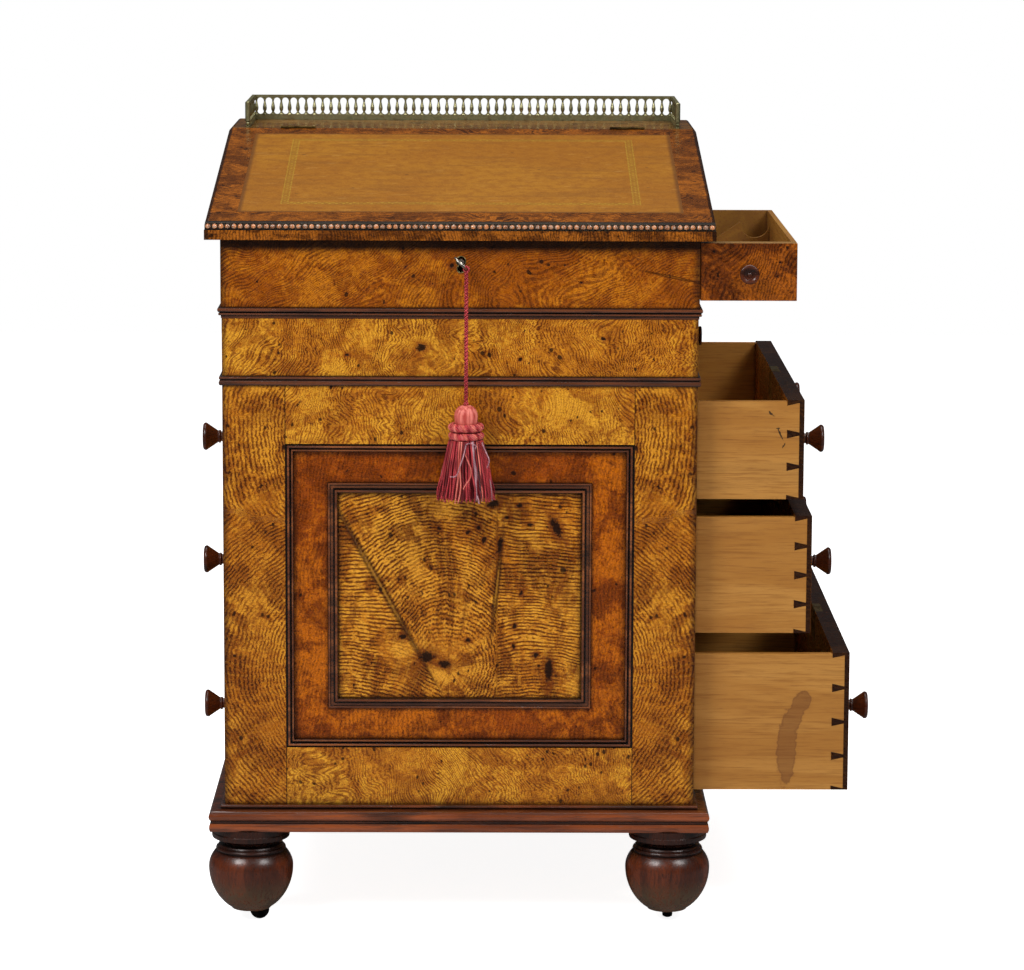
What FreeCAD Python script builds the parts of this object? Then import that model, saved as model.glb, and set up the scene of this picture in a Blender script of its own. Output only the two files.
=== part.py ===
import FreeCAD, Part
import math
import os

# Davenport desk: a pedestal with side drawers on bun feet and castors, and above it a
# writing box with a sloped lid that slides forward over the pedestal.
# Millimetres. X runs to the right as one sits at the desk, Y to the back, Z up.
# The origin is on the floor, under the middle of the carcass.

Vector = FreeCAD.Vector
os.makedirs("parts", exist_ok=True)

# ---------------------------------------------------------------- driving dimensions
CARCASS_HALF_WIDTH = 253.0
CARCASS_DEPTH = 568.0
FRONT = -CARCASS_DEPTH / 2
BACK = CARCASS_DEPTH / 2
FRAME_DEPTH = 24.0              # front and back frames, from face to inside
STILE_WIDTH = 66.7
PANEL_HALF_WIDTH = CARCASS_HALF_WIDTH - STILE_WIDTH
RAISED_HALF_WIDTH = 141.3       # rectangle of the inner moulding on the panel
RAISED_HALF_HEIGHT = 123.0
SIDE_THICKNESS = 19.0
RUNNER_WIDTH = 22.0

FOOT_TOP = 106.0
PLINTH_TOP = 133.3
CASE_TOP = 589.2                # top of the drawer case
FRIEZE_BOTTOM = 599.3           # top of the lower reed moulding
FRIEZE_TOP = 660.9
BASE_TOP = 667.0                # top of the pedestal
SLIDING_GAP = 0.4               # between the pedestal and the writing box
BOX_BOTTOM = BASE_TOP + SLIDING_GAP
BOX_FACE_BOTTOM = 672.7

PLINTH_OUT = 16.7               # how far the plinth moulding stands out at the sides
PLINTH_FRONT_OUT = 20.0
PLINTH_BOARD = 16.0             # thickness of the board that the case stands on
FRONT_RAIL_BOTTOM_Z = 195.5
FRONT_RAIL_TOP_Z = 526.2
PANEL_RECESS = 7.0

FOOT_X = 226.5
FOOT_Y = BACK - 21.0
FOOT_RADIUS = 46.0
FOOT_BOTTOM = 13.3

# side openings, from the bottom one up: bottom and top of each opening, and how far
# the drawer in it stands open at rest
DRAWER_OPENINGS = {
    "bottom": (143.7, 297.0, 169.0),
    "middle": (317.1, 446.7, 126.0),
    "top": (463.6, 572.4, 116.0),
}
DRAWER_TOP_GAP = 0.8
DRAWER_BOTTOM_GAP = 0.3
DRAWER_SIDE_GAP = 1.0
DRAWER_LENGTH = 470.0
DRAWER_FRONT_THICKNESS = 18.6
DRAWER_SIDE = 8.6
DRAWER_LAP = 5.4                # wood left in the front outside the dovetails
DRAWER_BOTTOM_BOARD = 6.0
DRAWER_PINS = {"bottom": 3, "middle": 3, "top": 2}
PIN_HALF_WIDE = 4.6
PIN_HALF_NARROW = 1.6
DRAWER_KEY_DEPTH = 22.0         # keyhole below the top edge
DRAWER_KEY_RADIUS = 3.2
DRAWER_LOCK_THICKNESS = 9.0
DRAWER_LOCK_WIDTH = 48.0
DRAWER_LOCK_HEIGHT = 34.0
KNOB_Y = FRONT + 110.0
KNOB_REACH = 28.5
KNOB_RADIUS = 15.0

SLIDE_HALF_WIDTH = 150.0
SLIDE_LENGTH = 380.0
SLIDE_THICKNESS = 18.4
SLIDE_GAP = 0.4
SLIDE_KNOB_RADIUS = 11.0
SLIDE_KNOB_REACH = 19.0
FRIEZE_WALL = 20.0
TOP_BOARD_BELOW_FRIEZE = 12.0
GROOVE_X = 150.0                # middles of the two grooves that the writing box runs in
GROOVE_WIDTH = 20.0
GROOVE_DEPTH = 8.5
TONGUE_FRONT = -52.0            # ends of the tongues under the box, which leave it 200 to slide
TONGUE_BACK = 246.0

BOX_HALF_WIDTH = 254.0
BOX_WALL = 14.0
BOX_FRONT_THICKNESS = 16.0
LID_HALF_WIDTH = 270.0
LID_FRONT_Y = FRONT - 15.0
LID_FRONT_BOTTOM = 745.4
LID_SLOPE = math.radians(9.2)
LID_THICKNESS = 17.8            # measured upright
LID_FACE = 10.3                 # plain front edge below the bead moulding
BEAD_HEIGHT = 7.7
BEAD_DEPTH = 10.0               # from the front edge to the step behind the moulding
HINGE_Y = FRONT + 415.5
HINGE_X = 190.0
HINGE_WIDTH = 40.0
HINGE_LEAF = 15.0               # how far a leaf goes down into the board
HINGE_RADIUS = 1.8
HINGE_PIN_RADIUS = 0.9
LEAF_THICKNESS = 1.2
LEAF_GAP = 0.3                  # from the hinge line to each leaf and board
STRIKE_HALF_WIDTH = 24.0
SHELF_BACK = FRONT + 580.0
SHELF_TOP = LID_FRONT_BOTTOM + (HINGE_Y - LID_FRONT_Y) * math.tan(LID_SLOPE) + LID_THICKNESS
LID_GAP = 0.4
EDGE_ROUND = 5.0
LEATHER_HALF_WIDTH = 237.5
LEATHER_FRONT = LID_FRONT_Y + 46.7
LEATHER_BACK = HINGE_Y - 27.5
LEATHER_THICKNESS = 1.5
LEATHER_PROUD = 0.1

GALLERY_HALF_WIDTH = 249.0
GALLERY_FRONT = FRONT + 427.5
GALLERY_BACK = FRONT + 559.0
GALLERY_HEIGHT = 29.3
GALLERY_BASE_RAIL = 6.5
GALLERY_TOP_RAIL = 3.2
GALLERY_RAIL_WIDTH = 4.0
GALLERY_WEB = 2.8
BALUSTER_NECK = 1.1             # radius
BALUSTER_PITCH = 9.9
GALLERY_POST_RADIUS = 3.0       # of the turned posts that end the side runs

PEN_FRONT_Y = FRONT + 2.0
PEN_LENGTH = 392.0
PEN_LEFT = BOX_HALF_WIDTH + 0.5
PEN_WIDTH = 102.5
PEN_BOTTOM = 680.8
PEN_TOP = 742.1
PEN_WALL = 5.5
PEN_FRONT_THICKNESS = 19.0
PEN_FLOOR = 5.0
PEN_COMPARTMENT = 78.0          # from the front board to the cross partition
PEN_SCOOP = 20.0                # depth of the pen tray
PEN_RACK_Y = 62.0               # board with a notch for pens, near the back
PEN_RACK_NOTCH = 17.0           # half width of the notch
PEN_KNOB_RADIUS = 10.4
PEN_KNOB_REACH = 17.0
PEN_KNOB_HEIGHT = 29.5          # above the underside
PEN_PIVOT_X = PEN_LEFT + 9.8
PEN_PIVOT_Y = PEN_FRONT_Y + PEN_LENGTH - 9.2
PIVOT_PIN_RADIUS = 3.0
PIVOT_PIN_ABOVE = 24.0          # the pin's top above the pen drawer's underside
RUNNING_FIT = 0.05

KEY_X = 0.6
KEY_Z = 722.2
KEY_BOW_Y = FRONT - 24.0
KEY_BOW_RADIUS = 8.3
KEY_WIRE = 1.2
KEYHOLE_RADIUS = 5.0
KEYHOLE_SLOT_WIDTH = 5.0
KEYHOLE_SLOT_DEPTH = 12.3       # below the middle of the round
KEYHOLE_END_RADIUS = 4.0        # the slot ends in a smaller round
LOCK_HALF_WIDTH = 27.0
LOCK_DEPTH = 14.0
LOCK_SKIN = 1.6
BOLT_Y = FRONT + 26.1
BOLT_THICKNESS = 3.0
BOLT_HALF_WIDTH = 10.0
KEY_TURN = math.radians(45.0)   # angle of the bow from straight down, at rest
CORD_RADIUS = 2.1
CORD_LOOP_STRAND = 1.1
TASSEL_TOP = 571.6
TASSEL_CLEARANCE = 3.4          # between the tassel's flat back and the case

CASTOR_OFFSET = 9.0
CASTOR_WHEEL_RADIUS = 10.5
CASTOR_WHEEL_WIDTH = 10.0
CASTOR_CROWN = 1.6              # fall of the tread from the middle to the edges
CASTOR_AXLE_RADIUS = 1.5
CASTOR_CHEEK = 1.6
CASTOR_PLATE_RADIUS = 14.0
CASTOR_PLATE = 2.0
CASTOR_STEM_TOP = 60.0
CASTOR_STEM_RADIUS = 4.0
CASTOR_POCKET_RADIUS = 21.0
CASTOR_POCKET_TOP = 27.0


# ---------------------------------------------------------------- small tools
def write(name, solids):
    """One sub-part: a single solid, or a group of separate solids, in its own file."""
    solids = solids if isinstance(solids, list) else [solids]
    flat = [s for shape in solids for s in shape.Solids]
    shape = flat[0] if len(flat) == 1 else Part.makeCompound(flat)
    shape.exportStep("parts/" + name + ".step")


def box(x0, x1, y0, y1, z0, z1):
    return Part.makeBox(x1 - x0, y1 - y0, z1 - z0, Vector(x0, y0, z0))


def cylinder(radius, start, direction, length):
    return Part.makeCylinder(radius, length, Vector(*start), Vector(*direction))


def face(to3d, start, *steps):
    """A flat face. A step of two numbers is a line to that point, and a step of two
    points is an arc through the first to the second."""
    edges, here = [], start
    for step in steps:
        if isinstance(step[0], tuple):
            through, end = step
            edges.append(Part.Arc(to3d(*here), to3d(*through), to3d(*end)).toShape())
        else:
            end = step
            edges.append(Part.LineSegment(to3d(*here), to3d(*end)).toShape())
        here = end
    if here != start:
        edges.append(Part.LineSegment(to3d(*here), to3d(*start)).toShape())
    return Part.Face(Part.Wire(edges))


def turned(*outline):
    """A turning about the Z axis, from an outline of (radius, height)."""
    profile = face(lambda r, z: Vector(r, 0, z), *outline)
    return profile.revolve(Vector(0, 0, 0), Vector(0, 0, 1), 360)


def side_view_prism(x0, x1, *outline):
    """A solid between two X planes, from an outline of (y, z)."""
    profile = face(lambda y, z: Vector(x0, y, z), *outline)
    return profile.extrude(Vector(x1 - x0, 0, 0))


def mitred_ring(half_u, half_v, section):
    """Four lengths of moulding round a rectangle in the XY plane, mitred at the corners.
    The section's outline is in (distance out from the rectangle, height)."""
    reach = 60.0
    pieces = []
    for quarter in range(4):
        along, out = (half_v, half_u) if quarter % 2 == 0 else (half_u, half_v)
        profile = face(lambda a, h: Vector(out + a, -along - reach, h), *section)
        length = profile.extrude(Vector(0, 2 * (along + reach), 0))
        inner, outer = out - reach, out + reach
        wedge = face(
            lambda x, y: Vector(x, y, -reach),
            (inner, reach - along), (outer, -along - reach),
            (outer, along + reach), (inner, along - reach),
        ).extrude(Vector(0, 0, 2 * reach))
        piece = length.common(wedge)
        piece.rotate(Vector(0, 0, 0), Vector(0, 0, 1), 90 * quarter)
        pieces.extend(piece.Solids)
    return pieces


def moved(shapes, x=0.0, y=0.0, z=0.0):
    copies = [s.copy() for s in (shapes if isinstance(shapes, list) else [shapes])]
    for copy in copies:
        copy.translate(Vector(x, y, z))
    return copies


def turned_about(shape, centre, axis, degrees):
    copy = shape.copy()
    copy.rotate(Vector(*centre), Vector(*axis), degrees)
    return copy


# ---------------------------------------------------------------- feet and plinth
def bun_foot():
    """Collar, neck, ring and ball, with a pocket and a stem bore for the castor."""
    top = FOOT_TOP
    body = turned(
        (0, top), (40.6, top), (41.3, top - 3), (41.3, 93.0),
        ((39.2, 87.8), (33.0, 85.6)), (29.2, 85.2), (29.2, 84.4), (32.6, 84.0),
        ((34.6, 81.0), (33.0, 78.2)), (34.5, 77.6), (36.0, 76.5),
        ((43.6, 68.0), (FOOT_RADIUS, 57.0)),
        ((44.2, 46.0), (38.7, 35.0)), (23.8, FOOT_BOTTOM),
        (0, FOOT_BOTTOM),
    )
    pocket = cylinder(CASTOR_POCKET_RADIUS, (0, 0, 0), (0, 0, 1), CASTOR_POCKET_TOP)
    bore_top = CASTOR_STEM_TOP + 2.0
    bore = cylinder(CASTOR_STEM_RADIUS + RUNNING_FIT, (0, 0, 0), (0, 0, 1), bore_top)
    return body.cut(pocket).cut(bore)


def castor(x, y, heading):
    """A small castor: a stem and fork that swivel in the foot, and a wheel that trails."""
    axle_z = CASTOR_WHEEL_RADIUS
    half = CASTOR_WHEEL_WIDTH / 2
    inner = half + 0.5
    outer = inner + CASTOR_CHEEK
    plate = CASTOR_POCKET_TOP - 0.4 - CASTOR_PLATE
    fork = cylinder(CASTOR_STEM_RADIUS, (0, 0, plate), (0, 0, 1), CASTOR_STEM_TOP - plate)
    fork = fork.fuse(cylinder(CASTOR_PLATE_RADIUS, (0, 0, plate), (0, 0, 1), CASTOR_PLATE))
    eye = 2 * CASTOR_AXLE_RADIUS
    neck = CASTOR_PLATE_RADIUS / 2
    for side in (-1, 1):
        fork = fork.fuse(face(
            lambda a, z: Vector(a, side * inner, z),
            (CASTOR_OFFSET - eye, axle_z),
            ((CASTOR_OFFSET, axle_z - eye), (CASTOR_OFFSET + eye, axle_z)),
            (neck, plate), (-neck, plate),
        ).extrude(Vector(0, side * CASTOR_CHEEK, 0)))
    axle = cylinder(CASTOR_AXLE_RADIUS, (CASTOR_OFFSET, -outer, axle_z), (0, 1, 0), 2 * outer)
    fork = fork.fuse(axle).removeSplitter()
    tread, edge = CASTOR_WHEEL_RADIUS, CASTOR_WHEEL_RADIUS - CASTOR_CROWN
    bore = CASTOR_AXLE_RADIUS + RUNNING_FIT
    wheel = turned((bore, -half), (edge, -half), ((tread, 0), (edge, half)), (bore, half))
    wheel.rotate(Vector(0, 0, 0), Vector(1, 0, 0), 90)
    wheel.translate(Vector(CASTOR_OFFSET, 0, axle_z))
    placed = []
    for shape in (fork, wheel):
        shape.rotate(Vector(0, 0, 0), Vector(0, 0, 1), heading)
        shape.translate(Vector(x, y, 0))
        placed.append(shape)
    return placed


def make_feet():
    foot = bun_foot()
    corners = {
        "front_left": (-FOOT_X, -FOOT_Y, 0), "front_right": (FOOT_X, -FOOT_Y, 82),
        "back_left": (-FOOT_X, FOOT_Y, 25), "back_right": (FOOT_X, FOOT_Y, 70),
    }
    write("bun_feet", [moved(foot, x, y)[0] for x, y, heading in corners.values()])
    for name, (x, y, heading) in corners.items():
        fork, wheel = castor(x, y, heading)
        write("castor_fork_" + name, fork)
        write("castor_wheel_" + name, wheel)


def make_plinth():
    """A band, a quirk, a torus over it, and a small reed against the carcass."""
    out, high = PLINTH_OUT, PLINTH_TOP - FOOT_TOP
    depth = 30.0
    wider = PLINTH_FRONT_OUT - PLINTH_OUT
    behind = -wider - 1.0
    section = [
        (-depth, 0), (out - 1.8, 0), ((out - 0.4, 4.4), (out - 1.4, 9.0)),
        (out - 3.6, 9.4), (out - 3.6, 11.2), ((out, 16.8), (out - 4.6, 22.6)),
        (5.0, 23.2), (3.2, 23.4), ((4.6, 25.4), (2.6, high)),
        (behind, high), (behind, PLINTH_BOARD), (-depth, PLINTH_BOARD),
    ]
    x = CARCASS_HALF_WIDTH
    y = BACK + wider
    ring = moved(mitred_ring(x, y, section), z=FOOT_TOP)
    low, carcass_low = FOOT_TOP, FOOT_TOP + PLINTH_BOARD
    carcass = box(-x, x, FRONT, BACK, carcass_low, PLINTH_TOP + 1)
    write("plinth_moulding", [piece.cut(carcass) for piece in ring])
    write("bottom_board", box(depth - x, x - depth, depth - y, y - depth, low, carcass_low))


# ---------------------------------------------------------------- carcass
def frame_with_panel(y0, y1, low, high):
    """Two stiles, full height, and a rail between them at the bottom and the top."""
    half, inner = CARCASS_HALF_WIDTH, PANEL_HALF_WIDTH
    return [
        box(-half, -inner, y0, y1, low, high), box(inner, half, y0, y1, low, high),
        box(-inner, inner, y0, y1, low, FRONT_RAIL_BOTTOM_Z),
        box(-inner, inner, y0, y1, FRONT_RAIL_TOP_Z, high),
    ]


def make_front_and_back():
    low = FOOT_TOP + PLINTH_BOARD
    inner = PANEL_HALF_WIDTH
    mid_z = (FRONT_RAIL_BOTTOM_Z + FRONT_RAIL_TOP_Z) / 2
    half_z = (FRONT_RAIL_TOP_Z - FRONT_RAIL_BOTTOM_Z) / 2
    write("front_frame", frame_with_panel(FRONT, FRONT + FRAME_DEPTH, low, CASE_TOP))
    write("front_panel", box(
        -inner, inner, FRONT + PANEL_RECESS, FRONT + FRAME_DEPTH - 2,
        FRONT_RAIL_BOTTOM_Z, FRONT_RAIL_TOP_Z,
    ))
    write("back_frame", frame_with_panel(BACK - FRAME_DEPTH, BACK, low, CASE_TOP))
    write("back_panel", box(
        -inner, inner, BACK - FRAME_DEPTH + 4, BACK - 8, FRONT_RAIL_BOTTOM_Z, FRONT_RAIL_TOP_Z,
    ))

    # The outer moulding drops from the frame to the panel, and the inner one stands on it.
    floor = -PANEL_RECESS
    two_reeds_falling = [
        (0.0, floor), (0.0, -2.6), (-1.4, -2.6), (-1.5, -0.4), ((-3.1, 1.5), (-4.6, -0.4)),
        (-4.8, -3.0), (-5.3, -3.0), (-5.4, -1.9), ((-6.9, -0.9), (-8.4, -2.8)), (-8.8, floor),
    ]
    bead_flat_and_reed = [
        (0.0, floor), (0.0, -5.0), ((-1.4, -3.4), (-2.8, -4.8)), (-5.8, -4.8), (-6.0, -6.2),
        (-6.9, -6.2), (-7.1, -3.2), ((-8.9, -1.4), (-10.6, -3.3)), (-11.8, -5.6), (-11.8, floor),
    ]
    outer = mitred_ring(inner, half_z, two_reeds_falling)
    raised = mitred_ring(RAISED_HALF_WIDTH, RAISED_HALF_HEIGHT, bead_flat_and_reed)
    pieces = []
    for piece in outer + raised:
        piece.rotate(Vector(0, 0, 0), Vector(1, 0, 0), 90)
        piece.translate(Vector(0, FRONT, mid_z))
        pieces.append(piece)
    write("panel_mouldings", pieces)


def side_levels():
    """The rails between the side openings, as (bottom, top)."""
    openings = [DRAWER_OPENINGS[name][:2] for name in ("bottom", "middle", "top")]
    edges = [FOOT_TOP + PLINTH_BOARD] + [z for opening in openings for z in opening] + [CASE_TOP]
    return list(zip(edges[0::2], edges[1::2]))


def make_sides():
    outer, inner = CARCASS_HALF_WIDTH, CARCASS_HALF_WIDTH - SIDE_THICKNESS
    y0, y1 = FRONT + FRAME_DEPTH, BACK - FRAME_DEPTH
    rails, runners = [], []
    for low, high in side_levels():
        for side in (-1, 1):
            x0, x1 = sorted((side * inner, side * outer))
            rails.append(box(x0, x1, y0, y1, low, high))
        for a, b in ((y0, y0 + RUNNER_WIDTH), (y1 - RUNNER_WIDTH, y1)):
            runners.append(box(-inner, inner, a, b, low, high))
    write("side_rails", rails)
    write("drawer_runners", runners)

    fronts, knobs = [], []
    for low, high, _ in DRAWER_OPENINGS.values():
        fronts.append(box(-outer, -inner, y0, y1, low, high))
        for y in (KNOB_Y, -KNOB_Y):
            knobs.append(side_knob(-outer, y, (low + high) / 2, -1))
    write("dummy_drawer_fronts", fronts)
    write("dummy_knobs", knobs)


def dome(rim_radius, rim_height, top):
    """An arc step from the rim to the top, round a centre on the axis of the turning."""
    centre = (rim_radius ** 2 + rim_height ** 2 - top ** 2) / (2 * (rim_height - top))
    sphere = top - centre
    half_angle = math.asin(rim_radius / sphere) / 2
    return (sphere * math.sin(half_angle), centre + sphere * math.cos(half_angle)), (0, top)


def knob_turning(radius, reach):
    """A turned knob standing on the XY plane: a collar, a neck, a bead, a cone that widens to
    a round rim, and a dished face with a small boss in the middle."""
    return turned(
        (0, 0), (radius * 0.44, 0), (radius * 0.44, reach * 0.08),
        (radius * 0.36, reach * 0.11), (radius * 0.36, reach * 0.29), (radius * 0.43, reach * 0.31),
        ((radius * 0.48, reach * 0.345), (radius * 0.43, reach * 0.38)), (radius * 0.43, reach * 0.41),
        (radius * 0.93, reach * 0.80), ((radius, reach * 0.89), (radius * 0.82, reach * 0.98)),
        (radius * 0.72, reach * 0.965), (radius * 0.58, reach * 0.90), (radius * 0.26, reach * 0.88),
        dome(radius * 0.26, reach * 0.88, reach),
    )


def side_knob(x, y, z, side):
    knob = knob_turning(KNOB_RADIUS, KNOB_REACH)
    knob.rotate(Vector(0, 0, 0), Vector(0, 1, 0), 90 * side)
    knob.translate(Vector(x, y, z))
    return knob


def make_frieze():
    half, y_half = CARCASS_HALF_WIDTH, CARCASS_DEPTH / 2
    low, high = FRIEZE_BOTTOM, FRIEZE_TOP
    wall = FRIEZE_WALL
    slide_low = low + SLIDE_GAP
    slide_high = slide_low + SLIDE_THICKNESS
    slot_top = slide_high + SLIDE_GAP
    slot_y = SLIDE_HALF_WIDTH + 0.6
    write("middle_board", box(4 - half, half - 4, FRONT + 4, BACK - 4, CASE_TOP, low))
    write("frieze_boards", [
        box(-half, half, FRONT, FRONT + wall, low, high),
        box(-half, half, BACK - wall, BACK, low, high),
        box(-half, wall - half, FRONT + wall, BACK - wall, low, high),
        box(half - wall, half, FRONT + wall, -slot_y, low, high),
        box(half - wall, half, slot_y, BACK - wall, low, high),
        box(half - wall, half, -slot_y, slot_y, slot_top, high),
    ])

    two_reeds = [
        (-4.0, 0.0), (2.2, 0.0), ((3.4, 2.9), (2.2, 5.7)), (0.8, 5.9), ((3.2, 8.1), (1.8, 10.1)),
        (0.0, 10.1), (-4.0, 10.1),
    ]
    inset = 17.0
    one_reed = [
        (-inset, 0.0), (0.6, 0.0), (0.8, 3.0), (2.0, 3.1), ((3.3, 4.6), (2.0, 6.1)), (-inset, 6.1),
    ]
    lower = moved(mitred_ring(half, y_half, two_reeds), z=CASE_TOP)
    upper = moved(mitred_ring(half, y_half, one_reed), z=FRIEZE_TOP)
    write("base_mouldings", lower + upper)

    # The top board fills the frieze from above and has the two grooves that guide the box.
    x, y = half - inset, y_half - inset
    under = FRIEZE_TOP - TOP_BOARD_BELOW_FRIEZE
    frieze_inside = box(wall - half, half - wall, FRONT + wall, BACK - wall, under, FRIEZE_TOP)
    top = frieze_inside.fuse(box(-x, x, -y, y, FRIEZE_TOP, BASE_TOP)).removeSplitter()
    groove_low = BASE_TOP - GROOVE_DEPTH
    groove_half = GROOVE_WIDTH / 2
    for middle in (-GROOVE_X, GROOVE_X):
        left, right = middle - groove_half, middle + groove_half
        top = top.cut(box(left, right, 6 - y, y - 6, groove_low, BASE_TOP + 1))
    guides = [
        box(-100, half - wall, side, side + 20, low, under) for side in (-slot_y - 20, slot_y)
    ]
    write("base_top_board", [top] + guides)

    slide_y = SLIDE_HALF_WIDTH
    write("brushing_slide", box(half - SLIDE_LENGTH, half, -slide_y, slide_y, slide_low, slide_high))
    knob = knob_turning(SLIDE_KNOB_RADIUS, SLIDE_KNOB_REACH)
    knob.rotate(Vector(0, 0, 0), Vector(0, 1, 0), 90)
    knob.translate(Vector(half, 0, slide_low + SLIDE_THICKNESS / 2))
    write("brushing_slide_knob", knob)


# ---------------------------------------------------------------- drawers
def dovetail_tails(x_back, x_lap, y0, y1, low, high, pins):
    """The end of a drawer side: a board from x_back to x_lap with sockets cut for the
    pins of the front, which are wide at x_back and narrow at x_lap."""
    board = box(x_back, x_lap, y0, y1, low, high)
    pitch = (high - low) / (pins + 1)
    for index in range(pins + 2):
        middle = low + index * pitch
        socket = face(
            lambda x, z: Vector(x, y0 - 1, z),
            (x_back, middle - PIN_HALF_WIDE), (x_lap, middle - PIN_HALF_NARROW),
            (x_lap, middle + PIN_HALF_NARROW), (x_back, middle + PIN_HALF_WIDE),
        ).extrude(Vector(0, y1 - y0 + 2, 0))
        board = board.cut(socket)
    return board


def make_drawer(name):
    opening_low, opening_high, opened = DRAWER_OPENINGS[name]
    low, high = opening_low + DRAWER_BOTTOM_GAP, opening_high - DRAWER_TOP_GAP
    y0, y1 = FRONT + FRAME_DEPTH + DRAWER_SIDE_GAP, BACK - FRAME_DEPTH - DRAWER_SIDE_GAP
    x1 = CARCASS_HALF_WIDTH + opened
    x0 = x1 - DRAWER_LENGTH
    front_back = x1 - DRAWER_FRONT_THICKNESS
    lap = x1 - DRAWER_LAP
    side_high = high - 1.5

    front = box(front_back, x1, y0, y1, low, high)
    case = []
    for a, b in ((y0, y0 + DRAWER_SIDE), (y1 - DRAWER_SIDE, y1)):
        tails = dovetail_tails(front_back, lap, a, b, low, side_high, DRAWER_PINS[name])
        front = front.cut(tails)
        case.append(box(x0, front_back, a, b, low, side_high).fuse(tails).removeSplitter())
    inner0, inner1 = y0 + DRAWER_SIDE, y1 - DRAWER_SIDE
    floor = low + 8.0
    board_top = floor + DRAWER_BOTTOM_BOARD
    case.append(box(x0, x0 + DRAWER_SIDE, inner0, inner1, board_top, side_high - 8))
    case.append(box(x0, front_back, inner0, inner1, floor, board_top))

    # the lock is let into the back of the front, and its selvedge shows in the top edge
    key_z = high - DRAWER_KEY_DEPTH
    lock_x = front_back + DRAWER_LOCK_THICKNESS
    lock_y = DRAWER_LOCK_WIDTH / 2
    lock_low = high - DRAWER_LOCK_HEIGHT
    keyhole = cylinder(DRAWER_KEY_RADIUS, (front_back - 1, 0, key_z), (1, 0, 0), 22.0)
    keyhole = keyhole.fuse(box(front_back - 1, x1 + 1, -1.4, 1.4, key_z - 9, key_z))
    recess = box(front_back - 0.1, lock_x, -lock_y, lock_y, lock_low, high + 1)
    lock = box(front_back, lock_x, -lock_y, lock_y, lock_low, high)
    lock = lock.cut(cylinder(DRAWER_KEY_RADIUS, (front_back + 4, 0, key_z), (1, 0, 0), 10))

    write("drawer_" + name + "_front", front.cut(keyhole).cut(recess))
    write("drawer_" + name + "_case", case)
    write("drawer_" + name + "_lock", lock)
    write("drawer_" + name + "_knobs", [
        side_knob(x1, y, (low + high) / 2, 1) for y in (KNOB_Y, -KNOB_Y)
    ])


# ---------------------------------------------------------------- writing box
def lid_under(y):
    return LID_FRONT_BOTTOM + (y - LID_FRONT_Y) * math.tan(LID_SLOPE)


def keyhole_slot(y0, y1):
    """The slot under the round of the keyhole, that lets the bit through."""
    half = KEYHOLE_SLOT_WIDTH / 2
    low = KEY_Z - KEYHOLE_SLOT_DEPTH + KEYHOLE_END_RADIUS
    end = cylinder(KEYHOLE_END_RADIUS, (KEY_X, y0, low), (0, 1, 0), y1 - y0)
    return box(KEY_X - half, KEY_X + half, y0, y1, low, KEY_Z).fuse(end)


def make_box():
    half, wall = BOX_HALF_WIDTH, BOX_WALL
    low = BOX_FACE_BOTTOM
    front_in = FRONT + BOX_FRONT_THICKNESS
    back_in = BACK - BOX_FRONT_THICKNESS
    shelf_under = SHELF_TOP - LID_THICKNESS

    keyhole = cylinder(KEYHOLE_RADIUS, (KEY_X, FRONT - 1, KEY_Z), (0, 1, 0), 20.0)
    keyhole = keyhole.fuse(keyhole_slot(FRONT - 1, FRONT + 19))
    front = side_view_prism(
        -half, half, (FRONT, low), (front_in, low),
        (front_in, lid_under(front_in) - LID_GAP), (FRONT, lid_under(FRONT) - LID_GAP),
    )
    write("box_front", front.cut(keyhole))

    profile = [
        (front_in, low), (back_in, low), (back_in, shelf_under), (HINGE_Y, shelf_under),
        (HINGE_Y, lid_under(HINGE_Y) - LID_GAP), (front_in, lid_under(front_in) - LID_GAP),
    ]
    left = side_view_prism(-half, wall - half, *profile)
    right = side_view_prism(half - wall, half, *profile)
    pen_y0, pen_y1 = PEN_PIVOT_Y - 10.8, PEN_PIVOT_Y + PEN_WIDTH - 8.9
    opening = box(half - wall - 1, half + 1, pen_y0, pen_y1, low - 1, PEN_TOP + 0.8)
    write("box_sides", [left, right.cut(opening)])
    write("box_back", box(-half, half, back_in, BACK, low, shelf_under))

    reed = [(-18.0, 0.0), (2.0, 0.0), ((3.4, 2.7), (1.8, 5.3)), (-18.0, 5.3)]
    write("box_moulding", moved(mitred_ring(half, CARCASS_DEPTH / 2, reed), z=BOX_BOTTOM))
    x, y = half - 18.0, CARCASS_DEPTH / 2 - 18.0
    floor = box(-x, x, -y, y, BOX_BOTTOM, low)
    half_width = GROOVE_WIDTH / 2 - 0.5
    tongue_low = BASE_TOP - GROOVE_DEPTH + 0.5
    tongues = [
        box(middle - half_width, middle + half_width, TONGUE_FRONT, TONGUE_BACK, tongue_low, BOX_BOTTOM)
        for middle in (-GROOVE_X, GROOVE_X)
    ]
    write("box_floor", [floor] + tongues)

    # housing of the pen drawer, inside the box
    inner_end = PEN_PIVOT_X - PEN_LENGTH - 6.0
    top = PEN_TOP + 0.8
    right_end = half - wall
    write("pen_drawer_housing", [
        box(inner_end, right_end, pen_y0 - 8, pen_y0, low, top),
        box(inner_end, right_end, pen_y1, pen_y1 + 8, low, top),
        box(inner_end, right_end, pen_y0 - 8, pen_y1 + 8, top, top + 7),
        box(inner_end - 8, inner_end, pen_y0 - 8, pen_y1 + 8, low, top + 7),
    ])
    carrier = box(
        PEN_PIVOT_X - 150, PEN_PIVOT_X + 7, PEN_PIVOT_Y - 8, PEN_PIVOT_Y + 8,
        low + 0.1, PEN_BOTTOM - 0.4,
    )
    foot = (PEN_PIVOT_X, PEN_PIVOT_Y, low + 1)
    pin = cylinder(PIVOT_PIN_RADIUS, foot, (0, 0, 1), PEN_BOTTOM + PIVOT_PIN_ABOVE - low - 1)
    write("pen_drawer_carrier", carrier.fuse(pin))


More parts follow.
